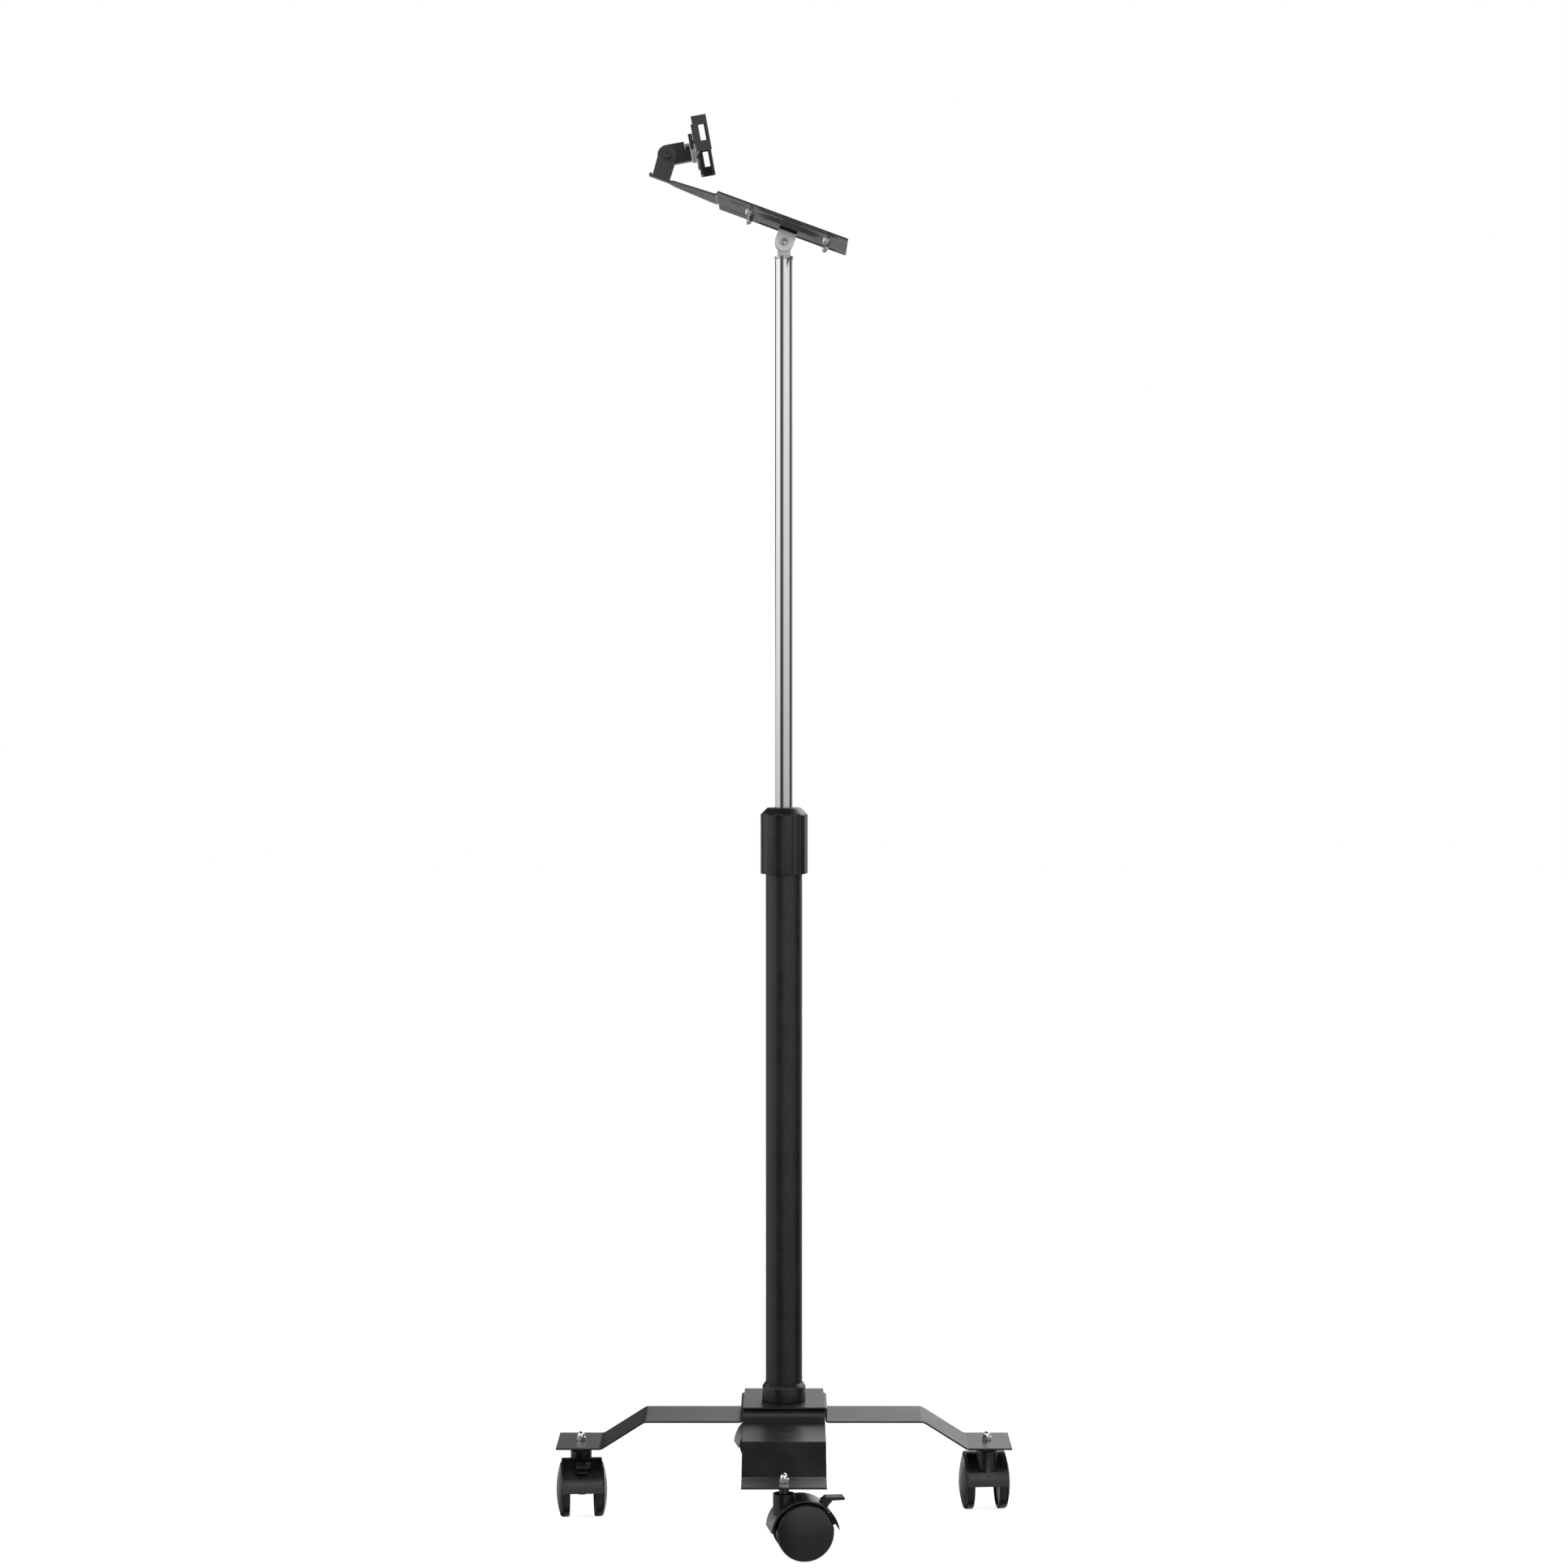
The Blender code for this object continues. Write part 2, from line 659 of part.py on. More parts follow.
def caster_hood():
    """The hood over both wheels, the web that holds the axle and the cup round the stem."""
    centre = (wheel_trail, hood_centre_height)
    inner = hood_radius - hood_wall
    shell = arc(centre, hood_radius, hood_lead_degrees, hood_trail_degrees, 20)
    shell += arc(centre, inner, hood_trail_inside_degrees, hood_lead_degrees, 16)
    hood = plate([shell], -hood_half_width, hood_half_width, side_view)
    web_low = axle_height - 2 * axle_radius
    web = arc(centre, hood_radius - hood_wall / 2, hood_lead_degrees, 12.0, 12)
    web += [(wheel_trail + 3 * axle_radius, web_low), (wheel_trail - 3 * axle_radius, web_low)]
    hood = join(hood, plate([web], -web_half_width, web_half_width, side_view))
    cup = rod(cup_radius, stem_bottom_height - cut_margin, cup_top_height, 24)
    groove_height = cup_top_height - cup_groove_drop
    groove_reach = cup_radius + cut_margin
    groove_floor = cup_radius - cup_groove_depth
    half = cup_groove_half_height
    groove = turned([(groove_reach, groove_height + half), (groove_reach, groove_height - half),
                     (groove_floor, groove_height - half / 2), (groove_floor, groove_height + half / 2)], 24)
    hood = join(hood, cup)
    for side in (-1, 1):
        lug = rod(pedal_lug_radius, pedal_arm_half_width + seat_gap,
                  pedal_arm_half_width + seat_gap + pedal_lug_width, 12, along_y)
        baked(lug, Matrix.Translation((pedal_pin_along, 0.0, pedal_pin_height)))
        if side < 0:
            baked(lug, Matrix.Scale(-1.0, 4, (0.0, 1.0, 0.0)))
            lug.data.flip_normals()
        hood = join(hood, lug)
    notch_half_width = pedal_arm_half_width + seat_gap
    notch_low = pedal_pin_height - pedal_notch_below
    notch_high = pedal_pin_height + pedal_notch_above
    notch = block((pedal_pin_along - pedal_notch_back, -notch_half_width, notch_low),
                  (pedal_pin_along + pedal_notch_front, notch_half_width, notch_high))
    hood = cut(hood, groove, notch)
    cup_cut = cup_top_height + cut_margin
    hood = cut(hood, rod(cup_recess_radius, cup_top_height - cup_recess_depth, cup_cut, 20),
               bore(stem_radius + running_gap, stem_bottom_height - seat_gap, cup_cut, 16))
    web_cut = web_half_width + cut_margin
    axle_hole = bore(axle_radius + running_gap, -web_cut, web_cut, 12, along_y)
    baked(axle_hole, Matrix.Translation((wheel_trail, 0.0, axle_height)))
    pin_hole = bore(pedal_pin_radius + running_gap, -hood_half_width, hood_half_width, 12, along_y)
    baked(pin_hole, Matrix.Translation((pedal_pin_along, 0.0, pedal_pin_height)))
    return cut(hood, axle_hole, pin_hole)


pin_half_length = pedal_arm_half_width + seat_gap + pedal_lug_width

# Side views of the pedal in millimetres from its pivot: the tab the foot presses, then the arm below it
pedal_tab_outline = [(0.9, 15.6), (22.4, 15.6), (23.4, 14.3), (23.4, 12.6), (22.6, 12.0), (8.8, 11.6),
                     (3.0, 11.6), (-0.6, 13.8)]
pedal_arm_outline = [(2.2, 14.9), (9.6, 12.1), (2.9, 3.9), (2.7, -0.6), (1.6, -2.2), (-0.4, -2.7),
                     (-2.3, -1.4), (-2.7, 1.6), (-3.3, 7.9), (-4.4, 11.6), (-3.6, 13.0)]


def caster_pedal():
    """The pedal is drawn about its own pivot stubs."""
    tab = [(x * mm, z * mm) for x, z in pedal_tab_outline]
    arm = [(x * mm, z * mm) for x, z in pedal_arm_outline]
    shape = plate([tab], -pedal_half_width, pedal_half_width, side_view)
    shape = join(shape, plate([arm], -pedal_arm_half_width, pedal_arm_half_width, side_view))
    return join(shape, rod(pedal_pin_radius, -pin_half_length, pin_half_length, 12, along_y))


neck_top = pad_top_height - strap_sheet - seat_gap
thread_top = pad_top_height + seat_gap + caster_nut_height - caster_nut_cap - 2 * seat_gap
nut_hole = stem_thread_radius + running_gap

caster_pieces = {
    "hood": (caster_hood(), black_plastic, (0.0, 0.0, 0.0)),
    "pedal": (caster_pedal(), black_plastic, (pedal_pin_along, 0.0, pedal_pin_height)),
    "wheel_a": (wheel_mesh(-1), black_plastic, (wheel_trail, 0.0, axle_height)),
    "wheel_b": (wheel_mesh(1), black_plastic, (wheel_trail, 0.0, axle_height)),
}
axle = rod(axle_radius, -axle_end, axle_end, 12, along_y)
baked(axle, Matrix.Translation((wheel_trail, 0.0, axle_height)))
caster_pieces["axle"] = (axle, satin_steel, (0.0, 0.0, 0.0))

stem_profile = [(0.0, thread_top), (stem_thread_radius, thread_top),
                (stem_thread_radius, neck_top), (stem_flange_radius, neck_top),
                (stem_flange_radius, neck_top - stem_flange_height),
                (stem_radius, neck_top - stem_flange_height - stem_flange_chamfer),
                (stem_radius, stem_bottom_height), (0.0, stem_bottom_height)]
caster_pieces["stem"] = (turned(stem_profile, 16), dark_steel, (0.0, 0.0, 0.0))
nut = acorn_nut(caster_nut_across_flats, caster_nut_height, caster_nut_hex_height, caster_nut_dome_radius,
                nut_hole, caster_nut_height - caster_nut_cap)
caster_pieces["nut"] = (nut, polished_steel, (0.0, 0.0, pad_top_height + seat_gap))

caster_sides = ("front", "right", "rear", "left")
caster_yaws = (front_and_rear_yaw, left_and_right_yaw, front_and_rear_yaw, left_and_right_yaw)
for number, side in enumerate(caster_sides):
    quarter = Matrix.Rotation(math.pi / 2 * number, 4, "Z")
    stand = quarter @ Matrix.Translation((0.0, -stem_reach, 0.0))
    swivel = stand @ Matrix.Rotation(math.radians(caster_yaws[number]), 4, "Z")
    for piece, (pattern, finish, origin) in caster_pieces.items():
        copy = bpy.data.objects.new("copy", pattern.data.copy())
        cutters.objects.link(copy)
        publish(copy, "caster_" + side + "_" + piece, finish, swivel @ Matrix.Translation(origin))
for pattern, finish, origin in caster_pieces.values():
    bpy.data.objects.remove(pattern, do_unlink=True)

# Pole cap with the tongue that the clevis turns on
cap_plug_radius = pole_bore - running_gap
cap_plug_bottom = pole_top_height - cap_plug_depth
cap_profile = [(0.0, pole_top_height + cap_height), (cap_radius, pole_top_height + cap_height),
               (cap_radius, pole_top_height), (cap_plug_radius, pole_top_height),
               (cap_plug_radius, cap_plug_bottom), (0.0, cap_plug_bottom)]
cap = turned(cap_profile, column_steps)
tongue_low = pole_top_height + cap_height - overlap
tongue_outline = [(tongue_half_width, tongue_low)]
tongue_outline += arc((0.0, pivot_height), tongue_half_width, 0, 180, 14)
tongue_outline += [(-tongue_half_width, tongue_low)]
tongue = plate([tongue_outline], -tongue_half_thickness, tongue_half_thickness, side_view)
cap = join(cap, tongue)
pivot_hole = bore(pivot_bolt_radius + running_gap, -tongue_half_thickness - cut_margin,
                  tongue_half_thickness + cut_margin, 28, along_y)
baked(pivot_hole, Matrix.Translation((0.0, 0.0, pivot_height)))
publish(cut(cap, pivot_hole), "mast_cap", satin_steel)

# Tilt head, drawn about the pivot with X along the tray towards its front and Z up from the tray
tilt = Matrix.Translation((0.0, 0.0, pivot_height)) @ Matrix.Rotation(math.radians(tilt_degrees), 4, "Y")
bridge_underside = tray_underside + tray_sheet + seat_gap
bridge_top = bridge_underside + bridge_sheet
dish_floor_low = tray_underside - dish_depth
web_top = dish_floor_low - seat_gap
web_middle = web_top - clevis_sheet / 2
ear_middle = tongue_half_thickness + seat_gap + clevis_sheet / 2
clevis_line = [(-ear_middle, -clevis_half_width), (-ear_middle, web_middle), (ear_middle, web_middle),
               (ear_middle, -clevis_half_width)]
clevis_bends = [clevis_sheet * 0.75] * len(clevis_line)
clevis = plate([sheet_outline(clevis_line, clevis_bends, clevis_sheet)], -clevis_half_width,
               clevis_half_width, front_view)
for along in (-clevis_rivet_spread, clevis_rivet_spread):
    clevis = join(clevis, rod(clevis_rivet_radius, web_top - overlap, bridge_top - seat_gap, 16,
                              Matrix.Translation((along, 0.0, 0.0))))
ear_low_corners = [(-clevis_half_width - cut_margin, -clevis_half_width - cut_margin),
                   (clevis_half_width + cut_margin, -clevis_half_width - cut_margin),
                   (clevis_half_width + cut_margin, 0.0)]
ear_low_corners += arc((0.0, 0.0), clevis_half_width, 0, -180, 24)
ear_low_corners += [(-clevis_half_width - cut_margin, 0.0)]
ear_outside = ear_middle + clevis_sheet / 2
ear_cut = ear_outside + cut_margin
clevis = cut(clevis, plate([ear_low_corners], -ear_cut, ear_cut, side_view),
             bore(pivot_bolt_radius + running_gap, -ear_cut, ear_cut, 28, along_y))
publish(clevis, "tilt_clevis", satin_steel, tilt)

nut_face = ear_outside + seat_gap
pivot_bolt = rod(pivot_bolt_radius, -ear_outside, nut_face + pivot_nut_height + pivot_bolt_end, 28, along_y)
ring_cut = turned([(pivot_bolt_ring_outer, pivot_bolt_ring_depth), (pivot_bolt_ring_outer, -cut_margin),
                   (pivot_bolt_ring_inner, -cut_margin), (pivot_bolt_ring_inner, pivot_bolt_ring_depth)], 28,
                  Matrix.Translation((0.0, -ear_outside, 0.0)) @ along_y)
publish(cut(pivot_bolt, ring_cut), "pivot_bolt", satin_steel, tilt)
pivot_nut = rod(hexagon_corner(pivot_nut_across_flats), nut_face, nut_face + pivot_nut_height, 6)
pivot_nut = cut(pivot_nut, bore(pivot_bolt_radius + running_gap, nut_face - cut_margin,
                                nut_face + pivot_nut_height + cut_margin, 28))
publish(baked(pivot_nut, along_y), "pivot_nut", satin_steel, tilt)

# Tray
def slot_outline(low, high, across, half_width):
    """A slot along the tray with round ends."""
    points = arc((high, across), half_width, -90, 90, 8)
    return points + arc((low, across), half_width, 90, 270, 8)


slot_half_width = tray_bolt_radius + stem_hole_gap
tray_outline = rounded_box((-tray_rear, -tray_half_width), (tray_front, tray_half_width), tray_corner)
tray_holes = []
for side in (-1, 1):
    tray_holes.append(slot_outline(rear_bolts_along - arm_travel, rear_bolts_along, side * bolt_spread,
                                   slot_half_width))
    tray_holes.append(circle((front_bolts_along, side * bolt_spread), slot_half_width, 24))
    slot_low = min(side * side_slot_inner, side * side_slot_outer)
    slot_high = max(side * side_slot_inner, side * side_slot_outer)
    tray_holes.append(rounded_box((side_slot_rear, slot_low), (side_slot_front, slot_high),
                                  side_slot_corner))
tray = plate([tray_outline] + tray_holes, tray_underside, tray_underside + tray_sheet)


def dish_outline(height, floor_height):
    """The dish outline at one height, carried on in a straight line past its rim."""
    share = (height - floor_height) / dish_depth
    half_length = dish_floor_half_length + (dish_half_length - dish_floor_half_length) * share
    half_width = dish_floor_half_width + (dish_half_width - dish_floor_half_width) * share
    corner = dish_floor_corner + (dish_corner - dish_floor_corner) * share
    flat = rounded_box((-half_length, -half_width), (half_length, half_width), corner, 6)
    return [(x, y, height) for x, y in flat]


def dish_block(floor_height, rim_height):
    """A closed block with sloping sides between the dish floor and a height above it."""
    builder = bmesh.new()
    floor = [builder.verts.new(point) for point in dish_outline(floor_height, floor_height)]
    rim = [builder.verts.new(point) for point in dish_outline(rim_height, floor_height)]
    builder.faces.new(floor[::-1])
    builder.faces.new(rim)
    for index in range(len(floor)):
        following = (index + 1) % len(floor)
        builder.faces.new((floor[index], floor[following], rim[following], rim[index]))
    return object_from_bmesh(builder, "dish")


# The pressed dish whose floor the clevis is riveted to
dish_floor_high = dish_floor_low + tray_sheet
tray = join(tray, dish_block(dish_floor_low, tray_underside + overlap))
tray = cut(tray, dish_block(dish_floor_high, tray_underside + tray_sheet + cut_margin))


def rivet_holes(low, high):
    holes = []
    for along in (-clevis_rivet_spread, clevis_rivet_spread):
        hole = bore(clevis_rivet_radius + running_gap, low - cut_margin, high + cut_margin, 16)
        holes.append(baked(hole, Matrix.Translation((along, 0.0, 0.0))))
    return holes


tray = cut(tray, *rivet_holes(dish_floor_low, dish_floor_high))
publish(tray, "tray_plate", black_coat, tilt)

bridge_rear = arm_front + arm_to_bridge_gap
bridge_outline = rounded_box((bridge_rear, -bridge_half_width), (bridge_front, bridge_half_width),
                             bridge_corner)
bridge = plate([bridge_outline], bridge_underside, bridge_top)
bridge = cut(bridge, *rivet_holes(bridge_underside, bridge_top))


def stud(along, across):
    """A press-in stud that hangs through the tray into its nut."""
    stud_low = tray_underside - seat_gap - tray_nut_height + tray_stud_short
    return rod(tray_bolt_radius, stud_low, bridge_underside + overlap, 12,
               Matrix.Translation((along, across, 0.0)))


def tray_nut(along, across):
    shape = acorn_nut(tray_nut_across_flats, tray_nut_height, tray_nut_hex_height,
                      tray_nut_across_flats / 2 - tray_nut_dome_inset, tray_bolt_radius + running_gap,
                      tray_nut_height - tray_nut_cap)
    upside_down = Matrix.Rotation(math.pi, 4, "X")
    baked(shape, upside_down)
    return baked(shape, Matrix.Translation((along, across, tray_underside - seat_gap)))


bridge = join(bridge, stud(front_bolts_along, -bolt_spread), stud(front_bolts_along, bolt_spread))
publish(bridge, "tray_bridge_plate", dark_steel, tilt)
for side, label in ((-1, "near"), (1, "far")):
    publish(tray_nut(front_bolts_along, side * bolt_spread), "front_nut_" + label, polished_steel, tilt)

# Rear arm, sliding on top of the tray and stepped down behind it
arm_low = tray_underside
arm_high = bridge_underside
step_front = -tray_rear - seat_gap
step_rear = step_front - arm_joggle_length
arm_line = [(arm_front, arm_high + arm_sheet / 2), (step_front, arm_high + arm_sheet / 2),
            (step_rear, arm_low + arm_sheet / 2), (arm_end, arm_low + arm_sheet / 2)]
arm_side_view = sheet_outline(arm_line, [arm_sheet] * len(arm_line), arm_sheet)
arm_cut_half_width = arm_front_half_width + cut_margin
arm = plate([arm_side_view], -arm_cut_half_width, arm_cut_half_width, side_view)
ear_root = hinge_along + ear_foot_front
tail_half_width = arm_end_half_width - seat_gap
arm_plan = [(arm_front + cut_margin, arm_front_half_width),
            (step_front + 2 * arm_sheet, arm_front_half_width), (step_rear, arm_joggle_half_width),
            (arm_waist, arm_waist_half_width), (ear_root, tail_half_width),
            (arm_end - cut_margin, tail_half_width)]
arm_plan = arm_plan + [(x, -y) for x, y in arm_plan[::-1]]
arm = boolean(arm, plate([arm_plan], arm_low - cut_margin, arm_high + arm_sheet + cut_margin), "INTERSECT")
ear_outline = [(hinge_along + ear_foot_front, arm_low + ear_foot_sink)]
ear_outline += arc((hinge_along, hinge_up), ear_radius, -ear_flank_degrees, 180 - ear_flank_degrees, 16)
ear_outline += [(hinge_along - ear_foot_rear, arm_low + ear_foot_sink)]
for side in (-1, 1):
    ear_low = min(side * (arm_end_half_width - arm_sheet), side * arm_end_half_width)
    arm = join(arm, plate([ear_outline], -ear_low - arm_sheet, -ear_low, side_view))
lip_half_width = arm_end_half_width - arm_sheet - seat_gap
arm = join(arm, block((arm_end + seat_gap, -lip_half_width, arm_low + seat_gap),
                      (arm_end + arm_sheet, lip_half_width, arm_low + arm_sheet + lip_height)))
arm = join(arm, stud(rear_bolts_along, -bolt_spread), stud(rear_bolts_along, bolt_spread))
hinge_hole = bore(hinge_screw_radius + running_gap, -arm_end_half_width - cut_margin,
                  arm_end_half_width + cut_margin, 20, along_y)
baked(hinge_hole, Matrix.Translation((hinge_along, 0.0, hinge_up)))
publish(cut(arm, hinge_hole), "rear_arm", black_coat, tilt)

for side, label in ((-1, "near"), (1, "far")):
    publish(tray_nut(rear_bolts_along, side * bolt_spread), "rear_nut_" + label, polished_steel, tilt)

screw_seat = arm_end_half_width + seat_gap
screw_end = screw_seat + hinge_nut_height + hinge_screw_end
hinge_screw = rod(hinge_screw_head_radius, -screw_seat - hinge_screw_head_height, -screw_seat, 28)
hinge_screw = join(hinge_screw, rod(hinge_screw_radius, -screw_seat - overlap, screw_end, 20))
hinge_screw = cut(hinge_screw, rod(hinge_socket_radius, -screw_seat - hinge_screw_head_height - cut_margin,
                                   -screw_seat - hinge_screw_head_height + hinge_socket_depth, 6))
baked(hinge_screw, along_y)
hinge_point = tilt @ Matrix.Translation((hinge_along, 0.0, hinge_up))
publish(hinge_screw, "hinge_screw", dark_steel, hinge_point)
hinge_nut = rod(hexagon_corner(hinge_nut_across_flats), screw_seat, screw_seat + hinge_nut_height, 6)
hinge_nut = cut(hinge_nut, bore(hinge_screw_radius + running_gap, screw_seat - cut_margin,
                                screw_end + cut_margin, 20))
publish(baked(hinge_nut, along_y), "hinge_nut", dark_steel, hinge_point)

# Display holder, drawn about the hinge with X out to the display and Z up along it
hinge_world = hinge_point.to_translation()
holder = Matrix.Translation(hinge_world) @ Matrix.Rotation(math.radians(-holder_lean_degrees), 4, "Y")
knuckle_half = arm_end_half_width - arm_sheet - seat_gap
knuckle_outline = arc((0.0, 0.0), knuckle_radius, 90, 270, 18)
knuckle_outline += [(knuckle_reach, -knuckle_radius), (knuckle_reach, knuckle_step_up),
                    (knuckle_step_along, knuckle_step_up), (knuckle_step_along, knuckle_radius)]
knuckle = plate([knuckle_outline], -knuckle_half, knuckle_half, side_view)
knuckle = cut(knuckle, bore(hinge_screw_radius + running_gap, -knuckle_half - cut_margin,
                            knuckle_half + cut_margin, 20, along_y))
standoff_up = knuckle_step_up + seat_gap + standoff_radius
publish(knuckle, "holder_knuckle", black_coat, holder)
standoff = rod(standoff_radius, knuckle_step_along + seat_gap, knuckle_reach, 6, along_x)
baked(standoff, Matrix.Translation((0.0, 0.0, standoff_up)))
publish(standoff, "holder_standoff", polished_steel, holder)

bar = block((holder_back, -bar_half_length, holder_centre - bar_half_height),
            (holder_back + bar_thickness, bar_half_length, holder_centre + bar_half_height))


def guide_stud(side):
    """A headed stud riveted into the bar, on which one jaw's slot runs."""
    head_radius = guide_screw_radius * 2
    head_back = tongue_front + seat_gap
    head_front = head_back + guide_head_height
    profile = [(0.0, head_front), (head_radius - guide_head_chamfer, head_front),
               (head_radius, head_front - guide_head_chamfer), (head_radius, head_back),
               (guide_screw_radius, head_back), (guide_screw_radius, holder_back + overlap),
               (0.0, holder_back + overlap)]
    return turned(profile, 16, Matrix.Translation((0.0, side * guide_screw_along, holder_centre)) @ along_x)


publish(join(bar, guide_stud(-1), guide_stud(1)), "holder_bar", black_coat, holder)


def jaw(side):
    """One jaw: a slotted tongue, a back plate, a windowed end plate and a front hook."""
    low = holder_centre - jaw_half_height
    high = holder_centre + jaw_half_height
    back = tongue_front - overlap
    front = tongue_front + jaw_depth
    tongue_shape = block((tongue_back, jaw_tongue_inner, holder_centre - jaw_tongue_half_height),
                         (tongue_front, jaw_outer - jaw_wall, holder_centre + jaw_tongue_half_height))
    back_plate = block((back, jaw_outer - 2 * jaw_hook_length, low),
                       (tongue_front + jaw_wall, jaw_outer, high))
    end_outline = [(back, low), (front, low), (front, high), (back, high)]
    window = rounded_box((back + jaw_window_back, holder_centre + jaw_window_bottom),
                         (front - jaw_window_rim, holder_centre + jaw_window_top), jaw_window_corner, 2)
    end_plate = plate([end_outline, window], -jaw_outer, -jaw_outer + jaw_wall, side_view)
    hook = block((front - jaw_wall, jaw_outer - jaw_hook_length, low), (front, jaw_outer, high))
    shape = join(tongue_shape, back_plate, end_plate, hook)
    middle = (guide_slot_inner + guide_slot_outer) / 2
    half = (guide_slot_outer - guide_slot_inner) / 2
    slot_half = guide_screw_radius + stem_hole_gap
    slot = rounded_box((-half, -slot_half), (half, slot_half), slot_half - running_gap)
    slot_cutter = plate([slot], tongue_back - cut_margin, tongue_front + cut_margin, front_view)
    shape = cut(shape, baked(slot_cutter, Matrix.Translation((0.0, middle, holder_centre))))
    if side < 0:
        baked(shape, Matrix.Scale(-1.0, 4, (0.0, 1.0, 0.0)))
        shape.data.flip_normals()
    return shape


def jaw_pad(side):
    """A rubber channel lining the inside of one jaw."""
    pad_back = tongue_front + jaw_wall + seat_gap
    pad_front = tongue_front + jaw_depth - jaw_wall - seat_gap
    pad_end = jaw_outer - jaw_wall - seat_gap
    pad_inner = jaw_outer - jaw_hook_length
    outline = [(pad_back, pad_inner), (pad_back + pad_thickness, pad_inner),
               (pad_back + pad_thickness, pad_end - pad_thickness),
               (pad_front - pad_thickness, pad_end - pad_thickness), (pad_front - pad_thickness, pad_inner),
               (pad_front, pad_inner), (pad_front, pad_end), (pad_back, pad_end)]
    low = holder_centre - jaw_half_height + pad_inset
    high = holder_centre + jaw_half_height - pad_inset
    shape = plate([outline], low, high)
    window = block((pad_back + pad_thickness, pad_end - pad_thickness - cut_margin,
                    holder_centre + jaw_window_bottom),
                   (pad_front - pad_thickness, pad_end + cut_margin, holder_centre + jaw_window_top))
    shape = cut(shape, window)
    if side < 0:
        baked(shape, Matrix.Scale(-1.0, 4, (0.0, 1.0, 0.0)))
        shape.data.flip_normals()
    return shape


for side, label in ((-1, "near"), (1, "far")):
    publish(jaw(side), "jaw_" + label, black_coat, holder)
    publish(jaw_pad(side), "jaw_pad_" + label, rubber, holder)
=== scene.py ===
import json
import math

import bmesh
import bpy
from mathutils import Matrix, Vector

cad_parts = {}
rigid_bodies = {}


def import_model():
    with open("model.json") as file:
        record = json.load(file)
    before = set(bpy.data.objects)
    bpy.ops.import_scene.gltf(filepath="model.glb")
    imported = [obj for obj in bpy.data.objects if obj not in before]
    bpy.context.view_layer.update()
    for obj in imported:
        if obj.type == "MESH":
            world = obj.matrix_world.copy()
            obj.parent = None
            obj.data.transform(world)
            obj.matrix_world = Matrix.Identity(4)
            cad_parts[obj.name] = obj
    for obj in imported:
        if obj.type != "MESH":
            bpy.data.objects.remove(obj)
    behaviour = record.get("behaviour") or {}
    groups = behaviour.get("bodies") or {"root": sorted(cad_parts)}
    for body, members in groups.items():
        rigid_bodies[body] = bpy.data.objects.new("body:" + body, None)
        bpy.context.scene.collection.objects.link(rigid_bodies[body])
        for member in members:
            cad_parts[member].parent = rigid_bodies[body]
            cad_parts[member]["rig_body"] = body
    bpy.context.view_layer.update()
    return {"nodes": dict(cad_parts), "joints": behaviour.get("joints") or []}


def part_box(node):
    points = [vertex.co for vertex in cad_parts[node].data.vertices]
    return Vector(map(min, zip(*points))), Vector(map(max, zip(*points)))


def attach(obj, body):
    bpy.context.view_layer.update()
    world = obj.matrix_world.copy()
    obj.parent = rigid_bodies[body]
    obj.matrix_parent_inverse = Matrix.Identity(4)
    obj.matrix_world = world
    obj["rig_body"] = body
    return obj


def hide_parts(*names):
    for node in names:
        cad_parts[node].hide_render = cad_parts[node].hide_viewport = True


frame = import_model()
nodes = frame["nodes"]
joints = {joint["name"]: joint for joint in frame["joints"]}
mm = 0.001

# Camera
# A long lens almost five metres in front of the stand, at chest height and
# tipped down by two degrees, as for a catalogue picture.
view_distance = 4.940
view_height = 1.0743
view_tip_down = 1.996
lens_length = 92.21

camera_data = bpy.data.cameras.new("camera")
camera_data.lens = lens_length
camera_data.sensor_width = 36.0
camera_data.clip_end = 100.0
camera = bpy.data.objects.new("camera", camera_data)
camera.location = (0.0, -view_distance, view_height)
camera.rotation_euler = (math.radians(90.0 - view_tip_down), 0.0, 0.0)
bpy.context.scene.collection.objects.link(camera)
bpy.context.scene.camera = camera
bpy.context.scene.view_settings.view_transform = "Standard"


# Studio
# A dark room with six soft panels: broad ones on the left, at the front right and at the
# rear right, and smaller ones high in front, high behind, and low behind for the tray's underside.
room_level = 0.07
# Name, heading, half width and softness in degrees, level, and where its foot and top fade.
panels = (("left panel", -88.0, 37.0, 10.0, 1.08, (-1.0, -0.9), (0.35, 0.75)),
          ("front right panel", 34.0, 40.0, 15.0, 0.88, (-1.0, -0.9), (0.35, 0.75)),
          ("rear right panel", 150.0, 30.0, 4.5, 0.86, (-1.0, -0.9), (0.60, 0.95)),
          ("high front panel", -5.0, 60.0, 25.0, 1.4, (0.30, 0.60), (0.60, 0.80)),
          ("high rear panel", 141.0, 39.5, 6.0, 2.35, (0.26, 0.50), (0.66, 0.86)),
          ("low rear panel", 190.0, 28.0, 15.0, 1.05, (-0.34, -0.16), (-0.04, 0.03)))
low_share = 0.55
high_share = 1.25
lift_foot = -0.30
lift_top = 0.20


def new_node(tree, kind, settings=None, values=None):
    """Adds a node, with its properties and the plain values of its inputs."""
    made = tree.nodes.new(kind)
    for name, value in (settings or {}).items():
        setattr(made, name, value)
    for name, value in (values or {}).items():
        made.inputs[name].default_value = value
    return made


def calculation(tree, operation, first, second=None):
    """A Math node; each side is a socket or a plain number."""
    made = new_node(tree, "ShaderNodeMath", {"operation": operation})
    for index, value in enumerate((first, second)):
        if isinstance(value, bpy.types.NodeSocket):
            tree.links.new(value, made.inputs[index])
        elif value is not None:
            made.inputs[index].default_value = value
    return made.outputs[0]


